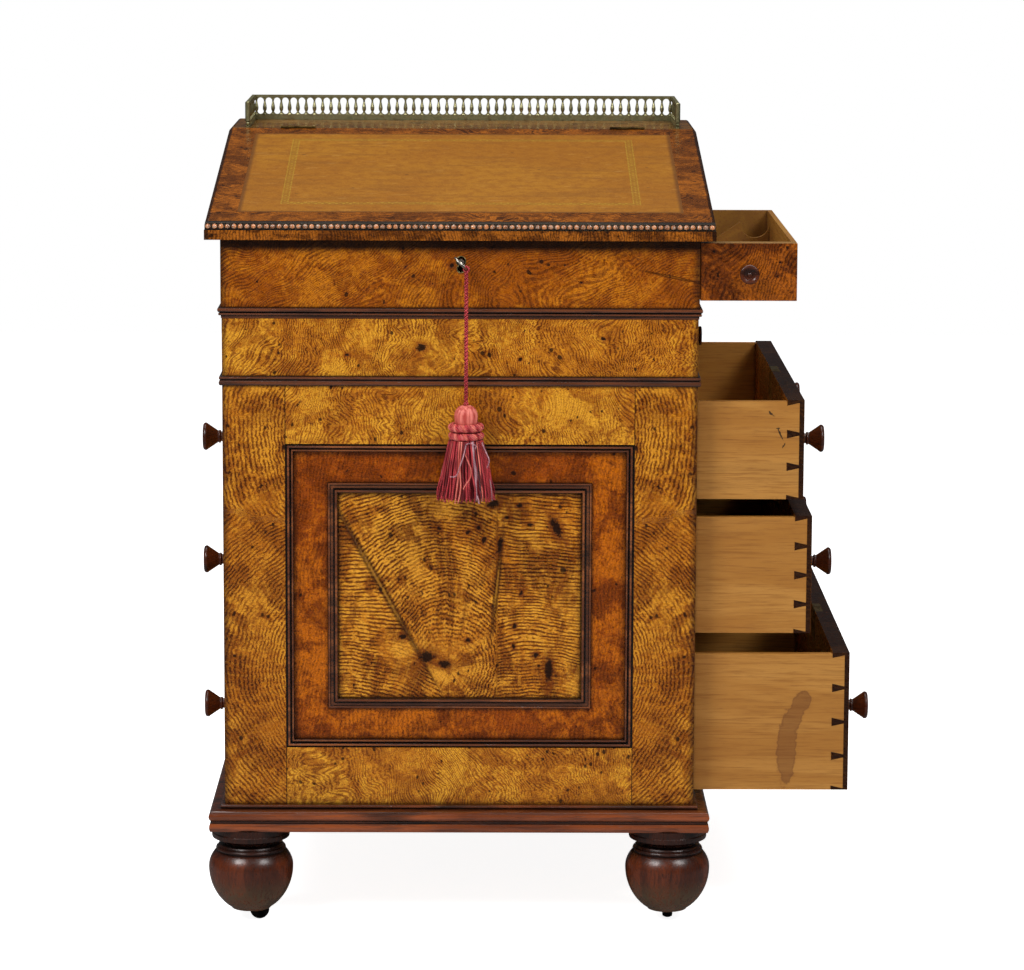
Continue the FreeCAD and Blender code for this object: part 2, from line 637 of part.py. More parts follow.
def hinge(x):
    """One butt hinge: the fixed leaf with two knuckles and the pin, the lid's leaf with
    the knuckle between them, and the space that the knuckles need in both boards."""
    half, third = HINGE_WIDTH / 2, HINGE_WIDTH / 6
    axis_z = SHELF_TOP + 0.8
    low = SHELF_TOP - HINGE_LEAF
    gap, clearance = 0.25, 0.35

    def rod(radius, a, b):
        return cylinder(radius, (x + a, HINGE_Y, axis_z), (1, 0, 0), b - a)

    def leaf(y0, y1):
        return box(x - half, x + half, y0, y1, low, axis_z)

    room = HINGE_RADIUS + clearance
    fixed = leaf(HINGE_Y + LEAF_GAP, HINGE_Y + LEAF_GAP + LEAF_THICKNESS)
    fixed = fixed.cut(rod(room, -third - gap, third + gap))
    fixed = fixed.fuse(rod(HINGE_RADIUS, -half, -third)).fuse(rod(HINGE_RADIUS, third, half))
    fixed = fixed.fuse(rod(HINGE_PIN_RADIUS, -half, half))
    moving = leaf(HINGE_Y - LEAF_GAP - LEAF_THICKNESS, HINGE_Y - LEAF_GAP)
    moving = moving.cut(rod(room, -half - 1, -third + gap)).cut(rod(room, third - gap, half + 1))
    moving = moving.fuse(rod(HINGE_RADIUS, gap - third, third - gap))
    moving = moving.cut(rod(HINGE_PIN_RADIUS + RUNNING_FIT, -half - 1, half + 1))
    space = rod(HINGE_RADIUS + 0.5, -half - 0.5, half + 0.5)
    return fixed.removeSplitter(), moving.removeSplitter(), space


def lid_top(y):
    return lid_under(y) + LID_THICKNESS


def lid_slab(half_width, y0, y1, above0, above1):
    """A slab that lies along the lid's slope, from one height over its underside to another."""
    return side_view_prism(
        -half_width, half_width, (y0, lid_under(y0) + above0), (y1, lid_under(y1) + above0),
        (y1, lid_under(y1) + above1), (y0, lid_under(y0) + above1),
    )


def make_lid_and_shelf():
    half = LID_HALF_WIDTH
    rear = HINGE_Y - LEAF_GAP
    step_y = LID_FRONT_Y + BEAD_DEPTH
    face_top = LID_FRONT_BOTTOM + LID_FACE
    lid = side_view_prism(
        -half, half, (LID_FRONT_Y, LID_FRONT_BOTTOM), (rear, lid_under(rear)),
        (rear, lid_top(rear)), (step_y, lid_top(step_y)), (step_y, face_top), (LID_FRONT_Y, face_top),
    )
    lid = rounded_top_edges(lid, half)
    shelf_front = HINGE_Y + LEAF_GAP
    shelf = box(-half, half, shelf_front, SHELF_BACK, SHELF_TOP - LID_THICKNESS, SHELF_TOP)
    shelf = rounded_top_edges(shelf, half)

    fixed_leaves, moving_leaves = [], []
    pocket, low, high = LEAF_GAP + LEAF_THICKNESS, SHELF_TOP - HINGE_LEAF, SHELF_TOP + 1
    for x in (-HINGE_X, HINGE_X):
        fixed, moving, space = hinge(x)
        fixed_leaves.append(fixed)
        moving_leaves.append(moving)
        left, right = x - HINGE_WIDTH / 2, x + HINGE_WIDTH / 2
        lid = lid.cut(space).cut(box(left, right, HINGE_Y - pocket, HINGE_Y, low, high))
        shelf = shelf.cut(space).cut(box(left, right, HINGE_Y, HINGE_Y + pocket, low, high))
    write("gallery_shelf", shelf)

    # the leather lies in a recess in the sloped face, and stands a hair above the wood
    recess_floor = LID_THICKNESS - LEATHER_THICKNESS
    across = (LEATHER_HALF_WIDTH, LEATHER_FRONT, LEATHER_BACK, recess_floor)
    lid = lid.cut(lid_slab(*across, LID_THICKNESS + 5))
    write("writing_leather", lid_slab(*across, LID_THICKNESS + LEATHER_PROUD))

    # strike plate over the lock, with a slot for the bolt
    plate = lid_slab(STRIKE_HALF_WIDTH, BOLT_Y - 7, BOLT_Y + 7, 0, 1.5)
    slot = lid_slab(STRIKE_HALF_WIDTH / 2, BOLT_Y - 3, BOLT_Y + 3, -1, 7)
    plate.translate(Vector(KEY_X, 0, 0))
    slot.translate(Vector(KEY_X, 0, 0))
    write("lid_board", lid.cut(slot).cut(plate))
    write("lid_brass", moving_leaves + [plate.cut(slot)])
    write("hinge_leaves", fixed_leaves)

    # strip in the step along the front edge: half-round in front, then up to the slope
    bead_half = half - 1.0
    back_of_round = LID_FRONT_Y + BEAD_HEIGHT / 2
    bead = side_view_prism(
        -bead_half, bead_half, (step_y, face_top), (back_of_round, face_top),
        ((LID_FRONT_Y, face_top + BEAD_HEIGHT / 2), (back_of_round, face_top + BEAD_HEIGHT)),
        (step_y, lid_top(step_y) - 0.2),
    )
    write("lid_bead_moulding", bead)


def rounded_top_edges(board, half):
    """Round the upper edge along each side, and along the back where it is level."""
    chosen = []
    for edge in board.Edges:
        bounds = edge.BoundBox
        along_side = bounds.XLength < 1e-6 and abs(abs(bounds.XMin) - half) < 1e-6
        on_top = bounds.YLength > 50 and bounds.ZMax > SHELF_TOP - 0.3
        across = bounds.XLength > 50
        at_back = bounds.YMin > SHELF_BACK - 1e-6 and bounds.ZMin > SHELF_TOP - 1e-6
        if (along_side and on_top) or (across and at_back):
            chosen.append(edge)
    return board.makeFillet(EDGE_ROUND, chosen)


def baluster(height):
    """A small turned spindle: a cone foot, a pear-shaped belly, a neck and a flared top."""
    return turned(
        (0, 0), (2.6, 0), (1.2, height * 0.17),
        ((2.3, height * 0.32), (2.2, height * 0.46)),
        (BALUSTER_NECK, height * 0.74), (BALUSTER_NECK, height * 0.86),
        ((1.5, height * 0.95), (2.6, height)), (0, height),
    )


def gallery_run(x0, y0, x1, y1):
    """One straight run as one piece: base rail, top rail and spindles at an even pitch. The
    rails have webs that make the openings between the spindles round at both ends."""
    length = math.hypot(x1 - x0, y1 - y0)
    half = GALLERY_RAIL_WIDTH / 2
    base = box(0, length, -half, half, 0, GALLERY_BASE_RAIL + GALLERY_WEB)
    rail_low = GALLERY_HEIGHT - GALLERY_TOP_RAIL
    rail = box(0, length, -half, half, rail_low - GALLERY_WEB, GALLERY_HEIGHT)
    count = round(length / BALUSTER_PITCH)
    pitch = length / count
    arch = pitch / 2 - BALUSTER_NECK
    for index in range(count + 1):
        x = index * pitch
        rail = rail.cut(cylinder(arch, (x, -half - 1, rail_low - arch), (0, 1, 0), 2 * half + 2))
        foot = cylinder(arch, (x, -half - 1, GALLERY_BASE_RAIL + arch), (0, 1, 0), 2 * half + 2)
        base = base.cut(foot)
    let_in = 0.2
    spindle = baluster(rail_low - GALLERY_BASE_RAIL + 2 * let_in)
    low = GALLERY_BASE_RAIL - let_in
    spindles = [moved(spindle, x=(index + 0.5) * pitch, z=low)[0] for index in range(count)]
    run = base.multiFuse([rail] + spindles)
    run.rotate(Vector(0, 0, 0), Vector(0, 0, 1), math.degrees(math.atan2(y1 - y0, x1 - x0)))
    run.translate(Vector(x0, y0, SHELF_TOP))
    return run


def gallery_post(x):
    """The turned post that ends a side run: a disc foot, a ball, and a plain pillar."""
    radius, high = GALLERY_POST_RADIUS, GALLERY_HEIGHT
    neck, ball, ball_z = 1.2, 2.3, 4.2
    post = turned(
        (0, 0), (radius, 0), (radius, 1.3), (neck, 2.2), ((ball, ball_z), (neck, 2 * ball_z - 2.2)),
        (radius, 7.0), (radius, high - 0.8), (radius - 0.8, high), (0, high),
    )
    return moved(post, x, GALLERY_FRONT + radius, SHELF_TOP)[0]


def make_gallery():
    """Three runs of spindles round the shelf, ending in turned posts at the front."""
    half = GALLERY_HALF_WIDTH
    rail_half = GALLERY_RAIL_WIDTH / 2
    start = GALLERY_FRONT + GALLERY_POST_RADIUS
    pieces = [gallery_run(-half - rail_half, GALLERY_BACK, half + rail_half, GALLERY_BACK)]
    for x in (-half, half):
        run = gallery_run(x, start, x, GALLERY_BACK - rail_half)
        pieces.append(run.fuse(gallery_post(x)).removeSplitter())
    write("brass_gallery", pieces)


# ---------------------------------------------------------------- pen drawer
def make_pen_drawer():
    x0, x1 = PEN_LEFT, PEN_LEFT + PEN_WIDTH
    y0, y1 = PEN_FRONT_Y, PEN_FRONT_Y + PEN_LENGTH
    low, high = PEN_BOTTOM, PEN_TOP
    inner_y0 = y0 + PEN_FRONT_THICKNESS
    write("pen_drawer_front", box(x0, x1, y0, inner_y0, low, high))

    wall, rim = PEN_WALL, high - 0.2
    floor = low + PEN_FLOOR
    inner0, inner1, inner_y1 = x0 + wall, x1 - wall, y1 - wall
    sides = [
        box(x0, inner0, inner_y0, y1, low, rim), box(inner1, x1, inner_y0, y1, low, rim),
        box(inner0, inner1, inner_y1, y1, low, rim),
    ]
    block = box(inner0, PEN_PIVOT_X + 6, PEN_PIVOT_Y - 6, inner_y1, low, rim - 6)
    base = box(inner0, inner1, inner_y0, inner_y1, low, floor).cut(block)
    under = (PEN_PIVOT_X, PEN_PIVOT_Y, low - 1)
    bore = cylinder(PIVOT_PIN_RADIUS + RUNNING_FIT, under, (0, 0, 1), PIVOT_PIN_ABOVE + 2)

    # from the front: a well, a low partition, a scooped tray for pens, and the pen rack,
    # which slopes up to a peak and has a round notch beside it
    part_y = inner_y0 + PEN_COMPARTMENT
    middle = (x0 + x1) / 2
    partition = box(inner0, inner1, part_y, part_y + wall, floor, rim - 26.0)
    notch_mid, notch_top = inner1 - PEN_RACK_NOTCH, rim - 9.5
    rack = face(
        lambda x, z: Vector(x, PEN_RACK_Y, z),
        (inner0, floor), (inner0, floor + 7.0), (notch_mid - PEN_RACK_NOTCH, notch_top),
        ((notch_mid, notch_top - PEN_RACK_NOTCH - 1.0), (inner1, notch_top)), (inner1, floor),
    ).extrude(Vector(0, wall, 0))
    scoop_y0, scoop_y1 = part_y + wall, PEN_RACK_Y
    scoop_top = floor + PEN_SCOOP
    scoop = box(inner0, inner1, scoop_y0, scoop_y1, floor, scoop_top)
    hollow = face(
        lambda x, z: Vector(x, scoop_y0, z),
        (inner0 + 5, scoop_top + 1), ((middle, floor + 3), (inner1 - 5, scoop_top + 1)),
    ).extrude(Vector(0, scoop_y1 - scoop_y0, 0))
    scoop = scoop.cut(hollow)
    joints = [inner0, inner0 + 22, middle, inner1 - 22, inner1]
    strips = [
        scoop.common(box(a, b, scoop_y0, scoop_y1, low, high)) for a, b in zip(joints, joints[1:])
    ]
    write("pen_drawer_tray", sides + [base, block.cut(bore), partition, rack] + strips)

    knob = knob_turning(PEN_KNOB_RADIUS, PEN_KNOB_REACH)
    knob.rotate(Vector(0, 0, 0), Vector(1, 0, 0), 90)
    knob.translate(Vector(middle, y0, low + PEN_KNOB_HEIGHT))
    write("pen_drawer_knob", knob)


# ---------------------------------------------------------------- lock, key and tassel
def make_lock_and_key():
    case_y0, case_y1 = FRONT + BOX_FRONT_THICKNESS, FRONT + BOX_FRONT_THICKNESS + LOCK_DEPTH
    skin = LOCK_SKIN
    top = lid_under(case_y0) - LID_GAP
    low = KEY_Z - 18.0
    x0, x1 = KEY_X - LOCK_HALF_WIDTH, KEY_X + LOCK_HALF_WIDTH
    case = box(x0, x1, case_y0, case_y1, low, top)
    case = case.cut(box(x0 + skin, x1 - skin, case_y0 + skin, case_y1 - skin, low + skin, top - skin))
    entry = cylinder(KEYHOLE_RADIUS, (KEY_X, case_y0 - 1, KEY_Z), (0, 1, 0), 4.0)
    entry = entry.fuse(keyhole_slot(case_y0 - 1, case_y0 + 3))
    bolt_y0, bolt_y1 = BOLT_Y - BOLT_THICKNESS / 2, BOLT_Y + BOLT_THICKNESS / 2
    left, right = KEY_X - BOLT_HALF_WIDTH, KEY_X + BOLT_HALF_WIDTH
    fit = 0.4
    slot = box(left - fit, right + fit, bolt_y0 - fit, bolt_y1 + fit, top - 4, top + 1)
    write("box_lock", case.cut(entry).cut(slot))
    write("lock_bolt", box(left, right, bolt_y0, bolt_y1, KEY_Z + 2, top + 0.3))

    # The key, drawn with its bow upright and then turned about its own axis.
    shank_start, shank_end = KEY_BOW_Y + KEY_BOW_RADIUS, case_y0 + 7.6
    along = (0, 1, 0)
    shank = cylinder(2.4, (KEY_X, shank_start, KEY_Z), along, shank_end - shank_start)
    collar = cylinder(3.4, (KEY_X, FRONT - 12.0, KEY_Z), along, 2.2)
    centre = Vector(KEY_X, KEY_BOW_Y, KEY_Z)
    bow = Part.makeTorus(KEY_BOW_RADIUS, KEY_WIRE, centre, Vector(1, 0, 0))
    bit = box(KEY_X - 1.2, KEY_X + 1.2, case_y0 + 2.4, shank_end, KEY_Z - 8.2, KEY_Z)
    key = bow.fuse(shank).fuse(collar).fuse(bit).removeSplitter()
    write("key", turned_about(key, (KEY_X, 0, KEY_Z), (0, -1, 0), math.degrees(KEY_TURN)))


def make_tassel():
    """A cord loop through the bow, the twisted cord, and the tassel, flat at the back
    where it hangs against the case."""
    x = KEY_X + KEY_BOW_RADIUS * math.sin(KEY_TURN)
    rim_z = KEY_Z - KEY_BOW_RADIUS * math.cos(KEY_TURN)
    loop_radius = KEY_WIRE + 0.4 + CORD_LOOP_STRAND
    rim = Vector(x, KEY_BOW_Y, rim_z)
    loop = Part.makeTorus(loop_radius, CORD_LOOP_STRAND, rim, Vector(0, 1, 0))
    top = TASSEL_TOP
    cord = cylinder(CORD_RADIUS, (x, KEY_BOW_Y, top), (0, 0, 1), rim_z - loop_radius - top)
    write("tassel_cord", cord.fuse(loop))

    # a round head, a netted ruff, and the skirt of threads
    body = turned(
        (0, top), (4.0, top), ((10.5, top - 3), (13.0, top - 11)), ((12.6, top - 16), (11.5, top - 19)),
        ((17.4, top - 21.6), (18.8, top - 29)), (17.5, top - 37.5), (20.0, top - 41),
        (25.5, top - 65), (31.3, top - 98), (31.5, top - 101), (0, top - 102.3),
    )
    body.translate(Vector(x, KEY_BOW_Y, 0))
    case_side = box(x - 60, x + 60, FRONT - TASSEL_CLEARANCE, FRONT + 60, top - 150, top + 10)
    write("tassel", body.cut(case_side))


make_feet()
make_plinth()
make_front_and_back()
make_sides()
make_frieze()
for drawer in DRAWER_OPENINGS:
    make_drawer(drawer)
make_box()
make_lid_and_shelf()
make_gallery()
make_pen_drawer()
make_lock_and_key()
make_tassel()
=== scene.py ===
import math
import random

import bmesh
import bpy
from mathutils import Matrix, Vector


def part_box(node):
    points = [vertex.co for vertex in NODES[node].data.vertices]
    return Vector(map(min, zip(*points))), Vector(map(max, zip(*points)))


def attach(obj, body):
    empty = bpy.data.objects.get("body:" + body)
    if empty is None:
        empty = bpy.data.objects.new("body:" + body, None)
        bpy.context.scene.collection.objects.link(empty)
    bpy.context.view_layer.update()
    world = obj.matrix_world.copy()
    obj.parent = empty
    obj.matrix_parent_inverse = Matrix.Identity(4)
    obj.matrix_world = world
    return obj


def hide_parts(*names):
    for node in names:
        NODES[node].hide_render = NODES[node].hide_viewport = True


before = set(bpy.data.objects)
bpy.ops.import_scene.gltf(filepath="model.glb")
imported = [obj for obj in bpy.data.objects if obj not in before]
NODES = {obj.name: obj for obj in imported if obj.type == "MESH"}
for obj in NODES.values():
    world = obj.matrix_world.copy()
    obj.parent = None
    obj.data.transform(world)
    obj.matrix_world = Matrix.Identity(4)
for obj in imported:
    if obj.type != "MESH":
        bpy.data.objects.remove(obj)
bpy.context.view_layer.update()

MM = 0.001


# ---------------------------------------------------------------- sums on material nodes
class Value:
    """A number, vector or colour that varies over a surface. Sums on it add nodes to the
    material that it belongs to."""

    def __init__(self, tree, socket):
        self.tree = tree
        self.socket = socket

    def __add__(self, other):
        return sum_node("ADD", self, other)

    def __sub__(self, other):
        return sum_node("SUBTRACT", self, other)

    def __rsub__(self, other):
        return sum_node("SUBTRACT", other, self)

    def __mul__(self, other):
        return sum_node("MULTIPLY", self, other)


def node(tree, kind, inputs, output=0, **settings):
    """A shader node with its inputs, given by name or place, fed by values or numbers."""
    made = tree.nodes.new("ShaderNode" + kind)
    for name, setting in settings.items():
        setattr(made, name, setting)
    for name, value in inputs.items():
        socket = made.inputs[name]
        if isinstance(value, Value):
            tree.links.new(value.socket, socket)
        else:
            socket.default_value = value
    return Value(tree, made.outputs[output])


def sum_node(operation, *terms):
    tree = next(term.tree for term in terms if isinstance(term, Value))
    return node(tree, "Math", dict(enumerate(terms)), operation=operation)


def size_of(value):
    return sum_node("ABSOLUTE", value)


def lowest(a, b):
    return sum_node("MINIMUM", a, b)


def highest(a, b):
    return sum_node("MAXIMUM", a, b)


def wave(value, length):
    """Goes up and down between -1 and 1, once in every length."""
    return sum_node("SINE", value * (2 * math.pi / length))


def step(value, low, high, start=0.0, end=1.0):
    """Goes smoothly from start to end as the value goes from low to high."""
    inputs = {"Value": value, "From Min": low, "From Max": high, "To Min": start, "To Max": end}
    return node(value.tree, "MapRange", inputs, interpolation_type="SMOOTHSTEP")


def between(value, low, high, soft):
    """One where the value lies between low and high, with soft ends."""
    return step(value, low - soft, low + soft) * step(value, high - soft, high + soft, 1.0, 0.0)


def mix(a, b, share):
    """Colour a where the share is 0, and colour b where it is 1."""
    tree = next(term.tree for term in (a, b, share) if isinstance(term, Value))
    return node(tree, "Mix", {0: share, 6: a, 7: b}, output=2, data_type="RGBA")


def layered(colour, *layers):
    """Lays colours over one another. A layer is a colour and the share of it that shows."""
    for over, share in layers:
        colour = mix(colour, over, share)
    return colour


def point(tree, x, y, z=0.0):
    return node(tree, "CombineXYZ", {0: x, 1: y, 2: z})


def clouds(at, scale, detail=3.0, rough=0.55, bend=0.0):
    """Soft noise from about 0.25 to 0.75."""
    inputs = {"Vector": at, "Scale": scale, "Detail": detail, "Roughness": rough, "Distortion": bend}
    return node(at.tree, "TexNoise", inputs)


def cell_distance(at, scale):
    """How far a point is from the middle of its cell, in cells."""
    return node(at.tree, "TexVoronoi", {"Vector": at, "Scale": scale})


def cell_chance(at, scale):
    """A number from 0 to 1 that each cell draws."""
    drawn = node(at.tree, "TexVoronoi", {"Vector": at, "Scale": scale}, output=1)
    return node(at.tree, "SeparateColor", {0: drawn})


def paint(red, green, blue):
    """A colour given as it looks on a screen, from 0 to 255."""
    return tuple(linear(c / 255) for c in (red, green, blue)) + (1.0,)


def linear(c):
    return c / 12.92 if c <= 0.04045 else ((c + 0.055) / 1.055) ** 2.4


def object_point(tree):
    """The place on the object at rest, in metres, as x, y and z."""
    place = node(tree, "TexCoord", {}, output="Object")
    return [node(tree, "SeparateXYZ", {0: place}, output=i) for i in range(3)]


def object_facing(tree):
    """How squarely a face looks along x, y and z, forwards or back, from 0 to 1."""
    normal = node(tree, "TexCoord", {}, output="Normal")
    return [size_of(node(tree, "SeparateXYZ", {0: normal}, output=i)) for i in range(3)]


def facing(axis, low, high, start, end):
    """A function for a share that goes from start to end as faces turn to look along an axis."""
    return lambda tree: step(object_facing(tree)["xyz".index(axis)], low, high, start, end)


def crevice(tree, reach, clear=0.85, shut=0.35):
    """One deep in corners and hollows, and nothing on open faces. The reach is in mm."""
    made = tree.nodes.new("ShaderNodeAmbientOcclusion")
    made.samples = 6
    made.inputs["Distance"].default_value = reach * MM
    return step(Value(tree, made.outputs["AO"]), shut, clear, 1.0, 0.0)


def flat_point(tree):
    """The place on a board's face: across and up it, whichever way the face looks."""
    x, y, z = object_point(tree)
    nx, _, nz = object_facing(tree)
    side, top = step(nx, 0.60, 0.75), step(nz, 0.60, 0.75)
    return x + (y - x) * side, z + (y - z) * top


MATERIALS = {}


def new_material(name):
    material = bpy.data.materials.new(name)
    material.use_nodes = True
    material.node_tree.nodes.clear()
    MATERIALS[name] = material
    return material.node_tree


def finished(name, colour, roughness, bump=None, bump_depth=0.1, **shader):
    """Closes a material: colour and roughness, a bump in millimetres, and plain settings."""
    tree = colour.tree
    principled = tree.nodes.new("ShaderNodeBsdfPrincipled")
    for socket, value in (("Base Color", colour), ("Roughness", roughness)):
        if isinstance(value, Value):
            tree.links.new(value.socket, principled.inputs[socket])
        else:
            principled.inputs[socket].default_value = value
    if bump is not None:
        inputs = {"Strength": 1.0, "Distance": bump_depth * MM, "Height": bump}
        tree.links.new(node(tree, "Bump", inputs).socket, principled.inputs["Normal"])
    for setting, value in shader.items():
        principled.inputs[setting.replace("_", " ")].default_value = value
    out = tree.nodes.new("ShaderNodeOutputMaterial")
    tree.links.new(principled.outputs[0], out.inputs[0])
    return MATERIALS[name]


# ---------------------------------------------------------------- burr veneer
# In the materials, plain numbers are scales (in cells a metre) and the limits and shares
# at which a layer shows.
def tones(light, mid, dark, streak):
    return dict(light=paint(*light), mid=paint(*mid), dark=paint(*dark), streak=paint(*streak))


HONEY = tones((220, 154, 40), (194, 120, 24), (130, 62, 6), (60, 22, 3))
PANEL_HONEY = tones((222, 152, 42), (190, 112, 18), (106, 46, 4), (38, 12, 2))
STILE_HONEY = tones((210, 140, 34), (178, 104, 16), (112, 50, 4), (44, 15, 2))
ORANGE = tones((192, 114, 16), (154, 78, 4), (98, 40, 2), (46, 16, 2))
RUSSET = tones((192, 100, 2), (146, 64, 0), (78, 28, 0), (24, 7, 0))
PEN_RUSSET = tones((164, 86, 14), (120, 56, 8), (68, 26, 3), (24, 8, 2))
LID_BROWN = tones((166, 94, 24), (124, 66, 14), (66, 30, 7), (22, 10, 4))
SHELF_BROWN = tones((150, 102, 42), (122, 78, 28), (84, 48, 16), (38, 22, 10))
KNOT = paint(26, 12, 6)
# Near black, for dust and painted shade in the hollows of veneer
DUST_AND_SHADE = paint(30, 12, 4)


def blot(at, place, half_length, half_width, tilt):
    """How far a point is from a long blot's middle: 1 on its outline. Sizes in millimetres,
    and the tilt in degrees from level."""
    inputs = {
        "Vector": at, "Location": (place[0] * MM, place[1] * MM, 0.0),
        "Rotation": (0.0, 0.0, math.radians(tilt)), "Scale": (half_length * MM, half_width * MM, 1.0),
    }
    local = node(at.tree, "Mapping", inputs, vector_type="TEXTURE")
    return node(at.tree, "VectorMath", {0: local}, output="Value", operation="LENGTH")


def nearest_blot(at, blots):
    found = blot(at, *blots[0])
    for place in blots[1:]:
        found = lowest(found, blot(at, *place))
    return found


def drifts(here):
    """Two slow drifts that bend whatever is laid along them."""
    drift = node(here.tree, "TexNoise", {"Vector": here, "Scale": 8.0, "Detail": 2.0}, output=1)
    return [node(here.tree, "SeparateColor", {0: drift}, output=i) - 0.5 for i in (0, 1)]


def fan(u, v, seed, centre, drift, wander, spread, wrinkle):
    """How far round and how far out a point is on a fan of wavy rings, in metres."""
    du = u + drift[0] * wander * 3.0 - centre[0]
    dv = v + drift[1] * wander * 3.0 - centre[1]
    arc = sum_node("ARCTAN2", du, dv) * spread
    reach = sum_node("SQRT", du * du + dv * dv)
    wide = clouds(point(u.tree, arc, reach * 0.35, seed), 48.0, 1.0) - 0.5
    tight = clouds(point(u.tree, arc, reach * 0.5, seed + 4.0), 170.0, 1.0) - 0.5
    return arc, reach + (wide * 0.010 + tight * 0.007) * wrinkle


def knots_and_specks(u, v, seed, drift, patch, ragged, knots, specks):
    """Scattered knots with their halos, and specks in crowds: the halos and the dark spots."""
    knot_at = point(u.tree, u * 19.0 + drift[1] * 4.0, v * 19.0 + drift[0] * 4.0, seed)
    knot_size = step(cell_chance(knot_at, 1.0), 1.0 - 0.45 * knots, 1.0, 0.0, 0.13)
    knot_reach = cell_distance(knot_at, 1.0)
    knot = step(knot_reach - knot_size + ragged * 0.16, 0.0, 0.035, 1.0, 0.0)
    halo = step(knot_reach - knot_size * 1.6, 0.0, 0.14, 1.0, 0.0) * step(knot_size, 0.02, 0.08)
    speck_at = point(u.tree, u * 150.0 + drift[0] * 9.0, v * 120.0, seed + 1.3)
    crowd = cell_chance(speck_at, 1.0) + (patch - 0.5) * 1.2
    speck_size = step(crowd, 1.0 - 0.2 * specks, 1.1, 0.0, 0.32)
    speck = step(cell_distance(speck_at, 1.0) - speck_size + ragged * 0.16, -0.04, 0.08, 1.0, 0.0)
    return halo, highest(knot * 0.9, speck * 0.85 * step(speck_size, 0.02, 0.06))


def burr(
    u, v, seed, centre, shades, pitch=3.9, rings=0.8, rays=0.6, wander=0.02, mottle=0.6,
    knots=0.2, specks=0.5, wrinkle=0.5, fleck=0.5, spread=0.3, blots=(), streaks=(),
):
    """Burr veneer: wavy rings round a centre, broken into strokes, deeper in patches and
    crossed by pale rays, with knots, specks and cracks. The centre and the usual distance
    from it, the spread, are in metres and the pitch in millimetres. Blots are dark knots and
    streaks pale scars at given places. Returns the colour and how deep the figure lies."""
    tree = u.tree
    light, dark, streak = shades["light"], shades["dark"], shades["streak"]
    here = point(tree, u, v, seed)
    drift = drifts(here)
    arc, reach = fan(u, v, seed, centre, drift, wander, spread, wrinkle)

    def along_fan(round_scale, out_scale, shift, detail=3.0, rough=0.6):
        at = point(tree, arc * round_scale, reach * out_scale, seed + shift)
        return clouds(at, 1.0, detail, rough)

    patch = clouds(here, 34.0, 4.0, 0.65, bend=0.7)
    band = along_fan(60.0, 14.0, 5.7)
    deep = step(patch * (1.0 - 0.5 * rays) + band * (0.5 * rays), 0.46, 0.58)
    breaks = along_fan(170.0, 700.0 / pitch, 3.1, rough=0.65)
    strokes = step(wave(reach, pitch * MM) + (breaks - 0.5) * 3.6, -0.10, 0.50) * step(breaks, 0.37, 0.47)
    strokes = strokes * step(along_fan(30.0, 22.0, 2.4), 0.34, 0.52, 0.35, 1.0) * step(reach, 0.012, 0.045)
    ray = step(along_fan(330.0, 14.0, 8.0, 2.0, 0.55), 0.50, 0.62) * rays * step(reach, 0.03, 0.09)
    flecks = along_fan(420.0, 1300.0, 0.0, 2.0, 0.55)
    big = clouds(here, 7.0, 3.0, bend=0.6)
    murk = clouds(here, 16.0, 5.0, 0.7, bend=1.0)
    coarse = clouds(here, 170.0, 5.0, 0.75)
    fine = clouds(here, 620.0, 3.0, 0.75)
    crack_at = point(tree, u * 300.0 + drift[1] * 30.0, v * 700.0 + drift[0] * 60.0, seed)
    cracks = clouds(crack_at, 1.0, 3.0, 0.7)
    colour = layered(
        mix(shades["mid"], light, step(big * 0.4 + patch * 0.3 + coarse * 0.3, 0.54, 0.44)),
        (dark, step(coarse, 0.52, 0.66) * fleck),
        (dark, deep * mottle),
        (dark, step(murk, 0.54, 0.63) * (0.15 + 0.35 * mottle)),
        (light, ray * 0.35),
        (dark, strokes * rings * 0.9),
        (streak, strokes * rings * (deep * 0.55 + 0.30)),
        (dark, step(flecks, 0.52, 0.62) * 0.55),
        (light, step(fine, 0.56, 0.64) * 0.40),
        (streak, step(fine, 0.36, 0.44, 1.0, 0.0) * 0.75),
        (streak, step(cracks, 0.62, 0.67) * 0.75),
    )

    ragged = (clouds(here, 260.0, 5.0, 0.8) - 0.5) * 1.2
    halo, spots = knots_and_specks(u, v, seed, drift, patch, ragged, knots, specks)
    colour = mix(colour, dark, halo * 0.6)
    if blots:
        near = nearest_blot(point(tree, u, v), blots) + ragged * 2.3
        colour = mix(colour, dark, step(near, 0.9, 2.4, 0.75, 0.0))
        spots = highest(spots, step(near, 0.6, 1.1, 0.95, 0.0))
    if streaks:
        near = nearest_blot(point(tree, u, v), streaks) + ragged * 1.8
        colour = mix(colour, streak, step(near, 0.9, 2.4, 0.75, 0.0))
        colour = mix(colour, light, step(near, 0.2, 0.9, 0.35, 0.0))
    return mix(colour, KNOT, spots), highest(spots, strokes * rings * 0.5)


